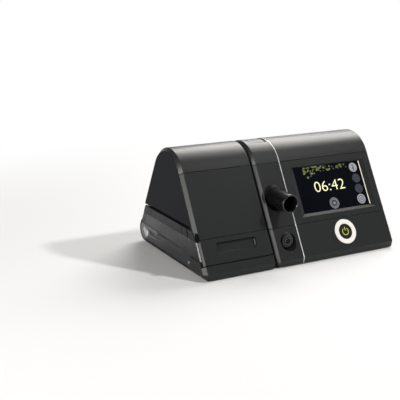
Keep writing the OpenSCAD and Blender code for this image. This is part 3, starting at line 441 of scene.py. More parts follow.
def frame_at(x, point, up, out):
    """Frame on a face: x across, y along the slope, z out of the face, in millimetres."""
    return Matrix(((MM, 0, 0, x * MM), (0, up.x * MM, out.x * MM, point.x * MM),
                   (0, up.y * MM, out.y * MM, point.y * MM), (0, 0, 0, 1)))


def front_frame(x, s):
    return frame_at(x, BEND + s * FRONT_UP, FRONT_UP, FRONT_OUT)


def circle(radius, depth, spot, count=64):
    return [spot @ Vector((radius * cos(2 * pi * k / count), radius * sin(2 * pi * k / count),
                           depth)) for k in range(count)]


def turned(profile, spot, closed=False, count=64):
    """Round piece: profile is a list of (radius, height) pairs in the frame of its spot."""
    return loft([circle(r, z, spot, count) for r, z in profile], closed)


casing = finish("casing_plastic", (0.0092, 0.0102, 0.01), 0.44, grain=0.35, rub=0.06,
                Specular_IOR_Level=0.3)
foot_path = [on_front(LOW_SEAM - HALF_SEAM)] + lip
power_spot = front_frame(POWER_X, POWER_S)
ring_hole = turned([(RING_SEAT, -6), (RING_SEAT, 3)], power_spot)
ring_cup = turned([(CUP_R, CUP_TOP), (CUP_R, CUP_BASE), (KEY_HOLE, CUP_BASE),
                   (KEY_HOLE, CUP_FLOOR), (RING_SEAT, CUP_FLOOR), (RING_SEAT, CUP_TOP)],
                  power_spot, closed=True)
lower = moulding(foot_path, STRIP_RIGHT + STRIP_GAP, UNIT_RIGHT, 0, BEVEL)
piece("lower_front_shell", joined([carved(lower, [ring_hole]), ring_cup]), casing,
      "lower_front_panel", 0.35)

# Port panels: two grained black mouldings left of the silver strip, one over the other. Each
# has a round pocket, moulded with it, that frames the outlet tube or the socket below it.
SOCKET_X, SOCKET_FLOOR, SOCKET_Z = -17.65, -68.208, 26.99
SOCKET_HOLE, SOCKET_BORE = 10.4, 6.5
TUBE_X, TUBE_ROOT, TUBE_Z = -20.25, -43.03, 73.2
TUBE_HOLE, COLLAR_BORE = 14.35, 12.15
POCKET_WALL, POCKET_BACK, POCKET_PROUD = 1.8, 2.0, 0.5


def facing_front(x, y, z):
    """Frame of a round piece whose axis runs level out of the front."""
    return frame_at(x, Vector((y, z)), Vector((0, 1)), Vector((-1, 0)))


def pocket(x, y, z, hole, bore, count=64):
    """Round pocket sunk in the sloping front: its floor is at y, its rim on the front face."""
    def ring(radius, depth=None):
        spots = []
        for k in range(count):
            dx, dz = radius * cos(2 * pi * k / count), radius * sin(2 * pi * k / count)
            face_y = BEND.x + (z + dz - BEND.y) / tan(SLOPE) + POCKET_PROUD
            spots.append(MM * Vector((x + dx, face_y if depth is None else y + depth, z + dz)))
        return spots
    return loft([ring(hole + POCKET_WALL, POCKET_BACK), ring(hole + POCKET_WALL), ring(hole),
                 ring(hole, 0), ring(bore, 0), ring(bore, POCKET_BACK)], closed=True)


socket_spot = facing_front(SOCKET_X, SOCKET_FLOOR, SOCKET_Z)
socket_cut = turned([(SOCKET_HOLE, -30), (SOCKET_HOLE, 30)], socket_spot)
port_lower = carved(moulding(foot_path, UNIT_LEFT, STRIP_LEFT - STRIP_GAP, BEVEL), [socket_cut])
socket_pocket = pocket(SOCKET_X, SOCKET_FLOOR, SOCKET_Z, SOCKET_HOLE, SOCKET_BORE)
piece("port_lower_shell", joined([port_lower, socket_pocket]), casing, "port_lower_panel", 0.3)
tube_spot = facing_front(TUBE_X, TUBE_ROOT, TUBE_Z)
middle_path = [on_front(LOW_SEAM + HALF_SEAM), on_front(TOP_SEAM - HALF_SEAM)]
tube_cut = turned([(TUBE_HOLE, -30), (TUBE_HOLE, 40)], tube_spot)
port_upper = carved(moulding(middle_path, UNIT_LEFT, STRIP_LEFT - STRIP_GAP, BEVEL), [tube_cut])
tube_pocket = pocket(TUBE_X, TUBE_ROOT, TUBE_Z, TUBE_HOLE, COLLAR_BORE)
piece("port_upper_shell", joined([port_upper, tube_pocket]), casing, "port_upper_panel", 0.3)

# Display panel: a moulded black frame with a chamfered recess that falls to the glass.
# The glass rests in a pocket behind the recess, on a ledge round the display module.
GLASS_X, GLASS_S, GLASS_W, GLASS_H = 64.85, 78.2, 98.8, 56.3
SUNK, PANE, GLASS_FIT, STEP = 2.5, 1.6, 0.3, 0.01
RECESS_W, RECESS_H, RECESS_SHIFT = GLASS_W + 11.4, GLASS_H + 5, -1.55
LEDGE, LEDGE_TOP, LEDGE_BACK = 6, -1.0, -6.1
glass_spot = front_frame(GLASS_X, GLASS_S)


def panel(width, height, depth, spot, radius=0.0, shift=0.0, corner=6):
    """Ring of a rectangle, with rounded corners where it has a radius."""
    if not radius:
        ends = [(i * width / 2, j * height / 2 + shift)
                for i, j in ((-1, -1), (1, -1), (1, 1), (-1, 1))]
    else:
        ends = []
        for n, (i, j) in enumerate(((1, 1), (-1, 1), (-1, -1), (1, -1))):
            for k in range(corner + 1):
                a = (n + k / corner) * pi / 2
                ends.append((i * (width / 2 - radius) + radius * cos(a),
                             j * (height / 2 - radius) + radius * sin(a) + shift))
    return [spot @ Vector((x, y, depth)) for x, y in ends]


ledge = loft([panel(GLASS_W + 14, GLASS_H + 12, z, glass_spot) for z in (LEDGE_TOP, LEDGE_BACK)])
opening = loft([panel(width, height, depth, glass_spot, shift=shift)
                for width, height, depth, shift in (
                    (RECESS_W, RECESS_H, 3, RECESS_SHIFT), (RECESS_W, RECESS_H, 0, RECESS_SHIFT),
                    (GLASS_W, GLASS_H, -SUNK, 0),
                    (GLASS_W + GLASS_FIT, GLASS_H + GLASS_FIT, -SUNK - STEP, 0),
                    (GLASS_W + GLASS_FIT, GLASS_H + GLASS_FIT, -SUNK - PANE, 0),
                    (GLASS_W - LEDGE, GLASS_H - LEDGE, -SUNK - PANE - STEP, 0),
                    (GLASS_W - LEDGE, GLASS_H - LEDGE, -12, 0))])
display_wall = moulding(middle_path, STRIP_RIGHT + STRIP_GAP, UNIT_RIGHT, 0, BEVEL)
piece("display_frame", carved(joined([display_wall, ledge]), [opening]), casing,
      "display_panel", 0.35, angle=20)

# Display glass: a toughened black pane with an anti-reflection coat and a polished edge.
# A thin pale strip laid along its right edge is a painted highlight of that polished edge, and
# shows as a line.
EDGE_LINE_X, EDGE_LINE_W = GLASS_X + GLASS_W / 2 - 0.75, 1.3


def on_glass(x, s):
    return front_frame(x, s) @ Matrix.Translation((0, 0, -SUNK))


glass = finish("display_glass", (0.0018, 0.0024, 0.0045), 0.12, rub=0.05,
               Specular_IOR_Level=0.08)
pane = loft([panel(GLASS_W, GLASS_H, z, glass_spot, 0.8) for z in (-SUNK - PANE, -SUNK)])
piece("display_pane", pane, glass, "display_glass", 0.2)
# Painted highlight: a pale strip along the glass's right edge.
edge_highlight_pale = finish("light_guide", (0.62, 0.6, 0.5), 0.3, mottle=0.05, slot="display_glass")
edge_line = loft([panel(EDGE_LINE_W, GLASS_H - 0.8, 0, on_glass(EDGE_LINE_X, GLASS_S)),
              panel(EDGE_LINE_W - 0.4, GLASS_H - 1.2, 0.22, on_glass(EDGE_LINE_X, GLASS_S))])
piece("display_edge_highlight", edge_line, edge_highlight_pale, None, 0)

# Lit picture behind the glass: clock digits, round touch icons and a scatter of small leaves.
# Each is a skin a few hundredths of a millimetre thick that glows as its light windows do.
PALE_H, DIM_H = 0.04, 0.07
INFO, FIRST, SECOND = (103, 98.7), (103.4, 84.6), (103.1, 71.3)
RINGS, MENU = (102.6, 58.1), (61.5, 57.9)
CLOCK_X1, CLOCK_X2, CLOCK_S1, CLOCK_S2 = 39.2, 83.6, 73.9, 86.7


def lit(name, colour, strength, slot):
    """Surface that glows a little, unevenly, as printed light windows do."""
    paint = finish(name, toned(colour, 0.6), 0.4, mottle=0.04, slot=slot)
    shader = paint.node_tree.nodes["Principled BSDF"]
    spread = noise(wire(paint.node_tree, "ShaderNodeTexCoord").other("Object"), 90.0, 1.0)
    mixed(spread, toned(colour, 0.85), colour).into(shader, "Emission Color")
    shader.inputs["Emission Strength"].default_value = strength
    return paint


def disc(place, radius, height=PALE_H, inner=0.0, count=40):
    """Flat round icon, or a ring where it has an inner radius."""
    rings = [(radius, 0), (radius, height)] + ([(inner, height), (inner, 0)] if inner else [])
    return turned(rings, on_glass(*place), bool(inner), count)


def digits(text, x1, x2, s1, s2, spot):
    """Numerals as a thin mesh that fills the given box on a face."""
    words = bpy.data.curves.new(text, "FONT")
    words.body = text
    words.extrude = 0.02
    words.offset = -0.011
    words.resolution_u = 4
    holder = bpy.data.objects.new(text, words)
    scene.collection.objects.link(holder)
    mesh = evaluated_mesh(holder)
    bpy.data.objects.remove(holder)
    bpy.data.curves.remove(words)
    bmesh.ops.remove_doubles(mesh, verts=mesh.verts, dist=0.0005)
    xs = [v.co.x for v in mesh.verts]
    ys = [v.co.y for v in mesh.verts]
    for v in mesh.verts:
        across = x1 + (v.co.x - min(xs)) / (max(xs) - min(xs)) * (x2 - x1)
        along = s1 + (v.co.y - min(ys)) / (max(ys) - min(ys)) * (s2 - s1)
        v.co = spot @ Vector((across, along, v.co.z + 0.02))
    bmesh.ops.recalc_face_normals(mesh, faces=mesh.faces)
    return mesh


def grown(name, host, paint, sizes, build):
    """Runs a node tree on a host mesh and returns what it makes as a plain mesh. build(tree,
    given) adds the nodes: given holds the named inputs, and Geometry is the host."""
    tree = bpy.data.node_groups.new(name, "GeometryNodeTree")
    tree.interface.new_socket("Geometry", in_out="OUTPUT", socket_type="NodeSocketGeometry")
    tree.interface.new_socket("Geometry", in_out="INPUT", socket_type="NodeSocketGeometry")
    keys = {label: tree.interface.new_socket(label, in_out="INPUT",
                                             socket_type="NodeSocketFloat").identifier
            for label in sizes}
    group_in = tree.nodes.new("NodeGroupInput")
    given = {label: Signal(tree, group_in.outputs[label]) for label in ("Geometry", *sizes)}
    real = wire(tree, "GeometryNodeRealizeInstances", {}, {0: build(tree, given)})
    painted = wire(tree, "GeometryNodeSetMaterial", {}, {0: real, "Material": paint})
    painted.into(tree.nodes.new("NodeGroupOutput"), 0)
    made = to_object(host, name)
    grow = made.modifiers.new("grow", "NODES")
    grow.node_group = tree
    for label, key in keys.items():
        grow[key] = sizes[label]
    result = evaluated_mesh(made)
    made.modifiers.remove(grow)
    discard(made)
    return result


def drum(tree, sides, radius, depth):
    return wire(tree, "GeometryNodeMeshCylinder", {},
                {"Vertices": sides, "Radius": radius, "Depth": depth})


def at_points(points, shape, **more):
    return wire(points.tree, "GeometryNodeInstanceOnPoints", {},
                {"Points": points, "Instance": shape, **more})


def leaf_scatter(tree, given):
    """Small flat leaves spread over the host face, each of its own size."""
    spots = wire(tree, "GeometryNodeDistributePointsOnFaces", {},
                 {"Mesh": given["Geometry"], "Density": given["Leaves per area"], "Seed": 4})
    size = wire(tree, "FunctionNodeRandomValue", {"data_type": "FLOAT"},
                {2: 0.45, 3: 1.25, "Seed": 7}, out=1)
    return at_points(spots, drum(tree, 7, given["Leaf radius"], given["Leaf height"]),
                     Scale=size, Rotation=spots.other("Rotation"))


clock_light = lit("display_clock", (0.86, 0.86, 0.5), 0.55, "display_glass")
pale_icon = lit("display_icons", (0.3, 0.31, 0.34), 0.32, "display_glass")
dim_icon = lit("display_dim", (0.024, 0.027, 0.036), 0.3, "display_glass")
clock = digits("06:42", CLOCK_X1, CLOCK_X2, CLOCK_S1, CLOCK_S2, on_glass(0, 0))
piece("display_clock", clock, clock_light, None, 0)
icons = [disc(INFO, 5.9), disc(RINGS, 6.1), disc(MENU, 6.7, inner=6.0),
         disc(MENU, 4.9, 0.06, 4.3), disc(MENU, 1.5, 0.06)]
piece("display_icons", joined(icons), pale_icon, None, 0)
info_spot = on_glass(INFO[0], INFO[1] - 1.5)
info_bar = loft([panel(1.9, 5.4, z, info_spot, 0.8) for z in (0.03, DIM_H)])
info_dot = disc((INFO[0], INFO[1] + 2.9), 1.0, DIM_H)
dim = [disc(FIRST, 5.8), disc(SECOND, 5.8), info_dot, disc(MENU, 6.0, 0.03), info_bar,
       disc(RINGS, 4.4, DIM_H, 3.6), disc(RINGS, 1.8, DIM_H, 1.2)]
piece("display_dim", joined(dim), dim_icon, None, 0)

leaf_light = lit("display_dots", (0.13, 0.15, 0.045), 0.4, "display_glass")
leaf_tree = leaf_light.node_tree
shade = noise(wire(leaf_tree, "ShaderNodeTexCoord").other("Object"), 420.0)
green = wire(leaf_tree, "ShaderNodeValToRGB",
             {"stops": ((0.4, (0.012, 0.017, 0.01)), (0.68, (0.2, 0.23, 0.05)))}, {0: shade})
green.into(leaf_tree.nodes["Principled BSDF"], "Emission Color")
leaf_field = bmesh.new()
leaf_field.faces.new([leaf_field.verts.new(on_glass(0, 0) @ Vector((x, s, 0.03)))
                      for x, s in ((28, 105.8), (27, 97), (34, 92.5), (42, 95), (52, 98.5),
                                   (70, 100), (96, 99.5), (97, 105.8))])
leaves = grown("leaf_scatter", leaf_field, leaf_light,
               {"Leaves per area": 150000, "Leaf radius": 1.1 * MM, "Leaf height": 0.04 * MM},
               leaf_scatter)
piece("display_dots", leaves, leaf_light, None, 0)

# Power button: a white ring of translucent polymer round a black cap with a glowing symbol.
# The ring is pressed into its cup, and the cap's stem reaches the switch on the main board.
RING_R, RING_INNER, CAP_R = 15, 9.4, 9.3
STEM_R, STEM_END, CAP_BACK = 3, -7.1, -3.3
SYMBOL_R, SYMBOL_LINE = 4.2, 0.85


def arc_band(radius, width, start, end, z, height, spot, steps=36):
    """Flat band bent round part of a circle."""
    rings = []
    for k in range(steps + 1):
        a = start + (end - start) * k / steps
        corners = [(radius - width / 2, z), (radius + width / 2, z),
                   (radius + width / 2, z + height), (radius - width / 2, z + height)]
        rings.append([spot @ Vector((r * cos(a), r * sin(a), h)) for r, h in corners])
    return loft(rings)


ring_white = finish("white_plastic", (0.66, 0.645, 0.61), 0.32, grain=0.05, rub=0.08)
ring = turned([(RING_INNER, CUP_FLOOR), (RING_R, CUP_FLOOR), (RING_R, -0.1), (RING_R - 0.4, 0.3),
               (RING_INNER + 0.4, 0.3), (RING_INNER, 0)], power_spot, closed=True, count=96)
piece("power_ring_lens", ring, ring_white, "power_ring", 0.15)
dark = finish("dark_plastic", (0.0085, 0.009, 0.0098), 0.5, grain=0.3, rub=0.08,
              Specular_IOR_Level=0.15)
cap = turned([(CAP_R, CAP_BACK - 0.1), (CAP_R, -0.35), (CAP_R - 0.3, -0.05), (CAP_R - 0.7, 0),
              (6, -0.22), (2, -0.3), (0.4, -0.3)], power_spot, count=96)
stem = turned([(STEM_R, STEM_END), (STEM_R, CAP_BACK)], power_spot)
piece("power_cap", joined([cap, stem]), dark, "power_button", 0.12, body="power_key")
symbol_green = lit("power_symbol", (0.42, 0.46, 0.06), 0.6, "dark_plastic")
symbol = [arc_band(SYMBOL_R, SYMBOL_LINE, radians(125), radians(415), -0.3, 0.14, power_spot),
          loft([panel(SYMBOL_LINE, 4.4, z, power_spot, shift=3.4) for z in (-0.32, -0.12)])]
piece("power_symbol", joined(symbol), symbol_green, None, 0, body="power_key")

# Outlet tube: a glossy black tube of 22 mm, moulded with a stop shoulder near its root and a
# thin rolled lip at its mouth. A turned collar clamps it in the pocket of the port panel.
TUBE_R, TUBE_BORE, TUBE_MOUTH = 11, 9.0, 39.87
STOP_R, STOP_END = 12, 2.9
FLANGE_R, FLANGE_BACK, FLANGE_END = 13, -3.6, -2.1
COLLAR_R, COLLAR_END = 14.2, 3.0
gloss_black = finish("gloss_black", (0.004, 0.004, 0.0042), 0.22, grain=0.05, rub=0.08,
                     Specular_IOR_Level=0.5)
tube = turned([(FLANGE_R, FLANGE_BACK), (FLANGE_R, FLANGE_END), (STOP_R, FLANGE_END),
               (STOP_R, STOP_END), (TUBE_R, STOP_END + 0.2), (TUBE_R, TUBE_MOUTH - 1.27),
               (TUBE_R - 0.2, TUBE_MOUTH - 0.47), (TUBE_R - 0.7, TUBE_MOUTH),
               (TUBE_BORE + 0.4, TUBE_MOUTH), (TUBE_BORE, TUBE_MOUTH - 0.57),
               (TUBE_BORE, FLANGE_BACK)], tube_spot, closed=True, count=96)
piece("outlet_tube_body", tube, gloss_black, "outlet_tube", 0.12)
collar = turned([(COLLAR_R, 0), (COLLAR_R, 2.4), (COLLAR_R - 0.6, COLLAR_END),
                 (COLLAR_BORE, COLLAR_END), (COLLAR_BORE, 0)], tube_spot, True, 96)
piece("outlet_collar_ring", collar, gloss_black, "outlet_collar", 0.15)

# Heater socket: a moulded round jack of glossy black polymer, pressed into the lower pocket,
# with a stepped face round its bore and a single turned contact pin in the middle.
jack = turned([(10.25, 0), (10.25, 2.6), (9.9, 3), (7.6, 3), (7.4, 3.2), (7.4, 7.2), (7.1, 7.5),
               (5.6, 7.5), (5.4, 7.3), (5.4, 5.6), (4.9, 5.6), (4.9, 8), (4.6, 8.3), (3.1, 8.3),
               (2.8, 8), (2.8, 1)], socket_spot, False, 72)
contact = turned([(1.1, 0.9), (1.1, 7.4), (0.7, 7.8), (0.1, 7.9)], socket_spot, False, 24)
socket_black = finish("socket_black", (0.011, 0.0115, 0.012), 0.34, grain=0.2, rub=0.08,
                      slot="gloss_black", Specular_IOR_Level=0.5)
piece("hose_jack", joined([jack, contact]), socket_black, "hose_socket", 0.2)

# Release button: a loose tile of the port's top cover over the docking latch, moulded in the
# same grained polymer. Its square stem stands on the latch hook, which a spring lifts.
TILE_WALL, TILE_SUNK = 2.8, 0.2
STEM_X, STEM_Y, STEM_HALF, STEM_LOW, STEM_TOP = -17.45, 4.8, 4, 117.9, 129.6
tile_path = [(p + TILE_SUNK * d, d) for p, d in on_crest(120) if RELEASE_Y1 <= p.x <= RELEASE_Y2]
tile = moulding(tile_path, RELEASE_LEFT, RELEASE_LEFT + RELEASE_WIDTH, wall=TILE_WALL)
button_stem = block(STEM_X - STEM_HALF, STEM_X + STEM_HALF, STEM_Y - STEM_HALF,
                    STEM_Y + STEM_HALF, STEM_LOW, STEM_TOP)
piece("release_tile", joined([tile, button_stem]), casing_top, "release_button", 0.35,
      body="release")

# Humidifier lid: three grained mouldings snapped together into one cover, with a finger
# recess. The cap has the hinge knuckles, and its left end is closed by a flat matt cheek.
LID_LEFT, LID_RIGHT, LID_EDGE = -132.45, -41.25, 0.8
LID_MIDDLE = (LID_LEFT + LID_RIGHT) / 2
HINGE_Y, HINGE_Z = 66.648, 52.0
KNUCKLE_R, KNUCKLE_BORE, KNUCKLE_PITCH, KNUCKLE_HALF = 3.3, 1.58, 21.6, 4
LUG_ROOM_R, LUG_PITCH, LUG_ROOM_HALF = 4.1, 30, 4.4
GRIP_W, GRIP_H, GRIP_CORNER, GRIP_WALL = 51.5, 11.9, 3, 1.9
SILL, LID_DROP = 10.3, 67.0
OUTSIDE, PLATE_ROOM, BEVEL_ROOM = -133.5, -130.45, -128.25


def across(x1, x2, radius, bore=0.0, y=HINGE_Y, z=HINGE_Z, count=36):
    """Round bar or tube along x, by default on the lid's hinge line."""
    spot = Matrix(((0, 0, MM, x1 * MM), (MM, 0, 0, y * MM), (0, MM, 0, z * MM), (0, 0, 0, 1)))
    rings = [(radius, 0), (radius, x2 - x1)] + ([(bore, x2 - x1), (bore, 0)] if bore else [])
    return turned(rings, spot, bool(bore), count)


def beside_chamber(s1, s2):
    """Room for the chamber's end plate: the inner half of the bevel, and the wall behind it."""
    corners = [on_front(s)[0] - depth * FRONT_OUT
               for s, depth in ((s1, 3), (s2, 3), (s2, 16), (s1, 16))]
    rings = [[MM * Vector((x, p.x, p.y)) for p in corners] for x in (OUTSIDE, BEVEL_ROOM)]
    return [block(OUTSIDE, PLATE_ROOM, -92, 0, 0, 44.2), loft(rings)]


def node_copy(name):
    """The CAD node's own shape as a merged mesh with its flat faces rejoined."""
    mesh = bmesh.new()
    mesh.from_mesh(frame["nodes"][name].data)
    bmesh.ops.remove_doubles(mesh, verts=mesh.verts, dist=0.004 * MM)
    bmesh.ops.dissolve_limit(mesh, angle_limit=radians(0.8), verts=mesh.verts, edges=mesh.edges)
    return mesh


lid_end = on_back(LID_DROP)[0], Vector((-1 / BACK_OUT.x, 0))
lid_path = [on_front(TOP_SEAM + HALF_SEAM)] + on_crest() + [lid_end]
lug_rooms = [across(LID_MIDDLE + k * LUG_PITCH - LUG_ROOM_HALF,
                    LID_MIDDLE + k * LUG_PITCH + LUG_ROOM_HALF, LUG_ROOM_R) for k in (-1, 0, 1)]
knuckles = [across(LID_MIDDLE + k * KNUCKLE_PITCH - KNUCKLE_HALF,
                   LID_MIDDLE + k * KNUCKLE_PITCH + KNUCKLE_HALF, KNUCKLE_R, KNUCKLE_BORE)
            for k in (-1, 1)]
lid_shell = carved(moulding(lid_path, LID_LEFT, LID_RIGHT, BEVEL, LID_EDGE), lug_rooms)
piece("lid_cap_shell", joined([lid_shell] + knuckles), casing_top, "lid_cap", 0.35, body="lid")

front_shell = carved(moulding(middle_path, LID_LEFT, LID_RIGHT, BEVEL, LID_EDGE),
                     beside_chamber(20, 48.3))
piece("lid_front_shell", front_shell, casing, "lid_front_panel", 0.35, body="lid")

handle_path = [on_front(SILL), on_front(LOW_SEAM - HALF_SEAM)]
grip_spot = front_frame(LID_LEFT + 22.1 + GRIP_W / 2, 21.6 + GRIP_H / 2)
grip_cut = loft([panel(GRIP_W, GRIP_H, z, grip_spot, GRIP_CORNER) for z in (-3.6, 3)])
handle_shell = carved(moulding(handle_path, LID_LEFT, LID_RIGHT, BEVEL, LID_EDGE),
                      [grip_cut] + beside_chamber(-2, 60))
grip_cup = loft([panel(49.3, 8.6, -3.5, grip_spot, 1.4, 0.95),
                 panel(50.9, 10.7, -2.6, grip_spot, 2.4, 0.3),
                 panel(GRIP_W, GRIP_H, -1.9, grip_spot, GRIP_CORNER),
                 panel(GRIP_W, GRIP_H, -1.2, grip_spot, GRIP_CORNER),
                 panel(GRIP_W + GRIP_WALL, GRIP_H + GRIP_WALL, -1.2, grip_spot, GRIP_CORNER + 1),
                 panel(GRIP_W + GRIP_WALL, GRIP_H + GRIP_WALL, -5.2, grip_spot, GRIP_CORNER + 1)])
piece("lid_handle_shell", joined([handle_shell, grip_cup]), casing, "lid_handle_panel", 0.35,
      body="lid")

cheek_black = finish("cheek_black", (0.0075, 0.008, 0.0095), 0.55, grain=0.35, rub=0.06,
                     slot="dark_plastic", Specular_IOR_Level=0.05)
cheek_relief = block(-133, -129, -52, 56, 40, 54.4)
cheek = carved(node_copy("lid_cheek"), [cheek_relief])
piece("lid_cheek_plate", cheek, cheek_black, "lid_cheek", 0.35, body="lid", segments=2)

# Lid hinge: a ground steel pin pushed through the knuckles of the cap and the lugs of the
# base. A flat dark blade behind the gap between them is painted shade: it hides the white
# surround, so the gap reads black.


def kept(name, paint, rounding=0.2):
    """A piece whose CAD shape is right: rounded edges and its finish are added."""
    return piece(name + "_part", node_copy(name), paint, name, rounding,
                 body=frame["nodes"][name]["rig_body"], segments=2)


steel = finish("steel", (0.55, 0.55, 0.54), 0.3, grain=0.15, grain_size=0.2, rub=0.2,
               Metallic=1.0)
kept("lid_hinge_pin", steel)
# Painted shade: a dark blade behind the hinge gap, so the gap reads black.
gap_shade_blade = block(-129.2, -42.8, 62.5, 63.35, 50.75, 55.6)
piece("hinge_gap_shade_strip", gap_shade_blade, dark, None, 0.15)

# Water chamber: a smoky clear polymer tub that slides out under the cheek, with a thick clear
# end plate, a darker top clipped on over a rubber seal, and a steel heat plate in its floor.
# Low bars moulded on the top give the fingers a grip.
PLATE_BACK = -128.7
TOP_FACE, PAD_PROUD, SHELF_PROUD, SLOT_PROUD = -131.5, -132.2, -131.85, -131.9
PIN_X, PIN_Y, PIN_Z = -131.6, -49.3, 12.2
RIB_COUNT, RIB_FIRST, RIB_PITCH, RIB_Y, RIB_Z = 6, -126, 3.2, -4, 50.55


def inlay(spots, x1, x2, lean=0.0):
    """Flat moulded shape seen through or set on the end plate, from points (y, z)."""
    return loft([[MM * Vector((x + lean * (y - spots[0][0]), y, z)) for y, z in spots]
                 for x in (x1, x2)])


def vector(tree, x=0.0, y=0.0, z=0.0):
    return wire(tree, "ShaderNodeCombineXYZ", {}, {0: x, 1: y, 2: z})


def bar(tree, length, width, height):
    return wire(tree, "GeometryNodeMeshCube", {}, {0: vector(tree, length, width, height)})


def rib_row(tree, given):
    return at_points(given["Geometry"],
                     bar(tree, given["Rib width"], given["Rib length"], given["Rib height"]))


smoky = finish("smoky_clear", (0.014, 0.015, 0.018), 0.24, rub=0.05, Specular_IOR_Level=0.4)
smoky_tree = smoky.node_tree
# Painted light: the end plate lets more of the white surround through towards the rear, so its
# rear half reads lighter.
place = wire(smoky_tree, "ShaderNodeTexCoord").other("Object")
depth = wire(smoky_tree, "ShaderNodeSeparateXYZ", {}, {0: place}).other("Y")
eased(depth, -0.06, 0.06, 0.8, 0.42).into(smoky_tree.nodes["Principled BSDF"], "Alpha")
# Painted light: the tub's walls behind the end plate take a lighter grey copy of the smoky
# polymer, so the chamber's inside reads lit.
tub_grey = finish("tub_grey", (0.15, 0.155, 0.17), 0.25, rub=0.1, slot="smoky_clear", Alpha=0.68)
tank = kept("water_tank", smoky, 0.25)
tank.data.materials.append(tub_grey)
for face in tank.data.polygons:
    face.material_index = int(face.center.x > PLATE_BACK * MM)

# Painted light: the inner corner seen through the end plate is a lighter grey than the smoky
# polymer, as light caught inside the chamber.
corner_arc = [(71.5 + 11.4 * cos(radians(a)), 17.5 + 11.4 * sin(radians(a)))
              for a in range(-100, 41, 10)]
corner = inlay(corner_arc + [(66, 24.4), (36, 24.4), (36, 20.9), (59.5, 20.9), (59.5, 14.8),
                             (36, 14.8), (36, 13.2), (60, 12.9)], -130.9, -129)
corner_grey = finish("corner_grey", (0.24, 0.245, 0.265), 0.25, slot="smoky_clear")
piece("tank_corner_rib", corner, corner_grey, None, 0.2, body="chamber")
# Painted highlight: a near-white facet just behind the end plate stands in for the glint on the
# tub's rear corner.
facet = inlay([(75.4, 17.8), (72.9, 21.9), (60.2, 18.0), (63.2, 10.9), (68, 10.3)],
              -131.3, -130, 0.03)
facet_white = finish("facet_white", (0.88, 0.89, 0.92), 0.2, slot="smoky_clear")
piece("tank_corner_glint", facet, facet_white, None, 0.2, body="chamber")
pin_spot = Matrix(((0, 0, -MM, PIN_X * MM), (MM, 0, 0, PIN_Y * MM), (0, MM, 0, PIN_Z * MM),
                   (0, 0, 0, 1)))
pin = turned([(1.3, 0), (1.25, 0.3), (0.8, 0.55), (0.1, 0.6)], pin_spot, count=32)
bright_steel = finish("bright_steel", (0.8, 0.8, 0.8), 0.25, slot="steel", Metallic=1.0)
piece("tank_plate_pin", pin, bright_steel, None, 0, body="chamber")

tank_top = finish("tank_top", (0.011, 0.0118, 0.0135), 0.36, grain=0.1, rub=0.08,
                  Specular_IOR_Level=0.12)
kept("tank_lid", tank_top, 0.25)
pads = [inlay([(-31.8, 50.0), (-33.4, 41.0), (-46.6, 41.0), (-42.8, 50.0)],
              TOP_FACE, PAD_PROUD),
        inlay([(-45.2, 50.0), (-49.6, 41.0), (-64.2, 41.0), (-62.8, 45.2), (-56.6, 50.0)],
              TOP_FACE, PAD_PROUD),
        inlay([(-29.9, 50.0), (-31.4, 41.0), (50.5, 41.0), (50.5, 50.0)],
              TOP_FACE, SHELF_PROUD)]
piece("tank_lid_clip", joined(pads), tank_top, None, 0.3, body="chamber")
# Painted shade: near-black strips in the gaps between the pads stand in for the shadowed depth of
# the slots.
slots = [inlay([(y, 50.2), (y - 1.6, 41.0), (y - 1.6 - width, 41.0), (y - width, 50.2)],
               TOP_FACE, SLOT_PROUD) for y, width in ((-29.9, 1.9), (-42.8, 2.4), (-63.2, 5.5))]
slot_black = finish("slot_black", (0.002, 0.002, 0.002), 0.7, slot="tank_top",
                    Specular_IOR_Level=0.05)
piece("tank_lid_slot_shade", joined(slots), slot_black, None, 0, body="chamber")
rib_places = bmesh.new()
for k in range(RIB_COUNT):
    rib_places.verts.new(MM * Vector((RIB_FIRST + RIB_PITCH * k, RIB_Y, RIB_Z)))
ribs = grown("grip_ribs", rib_places, tank_top,
             {"Rib width": 1.2 * MM, "Rib length": 46 * MM, "Rib height": 0.7 * MM}, rib_row)
piece("tank_lid_ribs", ribs, tank_top, None, 0.15, body="chamber")
rubber = finish("rubber", (0.012, 0.012, 0.012), 0.75, grain=0.6, grain_size=0.8, rub=0.1,
                Specular_IOR_Level=0.2)
kept("tank_seal", rubber, 0)
kept("tank_heat_plate", steel)

# Screws and feet: steel pan-head screws with a cross recess, driven up into bosses of the
# base shells, and round rubber feet with moulded tread rings, glued into the undersides.
HEAD_HEIGHT, RECESS_TURN = 1.2, 0.4
SCREWS = {"unit_screws": ((-22.25, 67.95, 118.45), (-49.5, 53.5)),
          "humidifier_screws": ((-116.45, -55.25), (-63.5, 57.5))}
FEET = {"unit_feet": ((-24.25, 118.45), (-69.5, 67.5)),
        "humidifier_feet": ((-116.45, -55.25), (-75.5, 67.5))}


def moved(shape, height, turn=0.0):
    """A shape lifted to a height, and turned about its upright axis."""
    return wire(shape.tree, "GeometryNodeTransform", {},
                {0: shape, "Translation": vector(shape.tree, z=height), "Rotation": (0, 0, turn)})


def gathered(tree, shapes):
    return wire(tree, "GeometryNodeJoinGeometry", {}, {0: shapes})


def bead_round(tree, outline, radius):
    """Round bead that follows an outline."""
    section = wire(tree, "GeometryNodeCurvePrimitiveCircle", {}, {"Resolution": 8,
                                                                  "Radius": radius})
    return wire(tree, "GeometryNodeCurveToMesh", {}, {"Curve": outline, "Profile Curve": section})


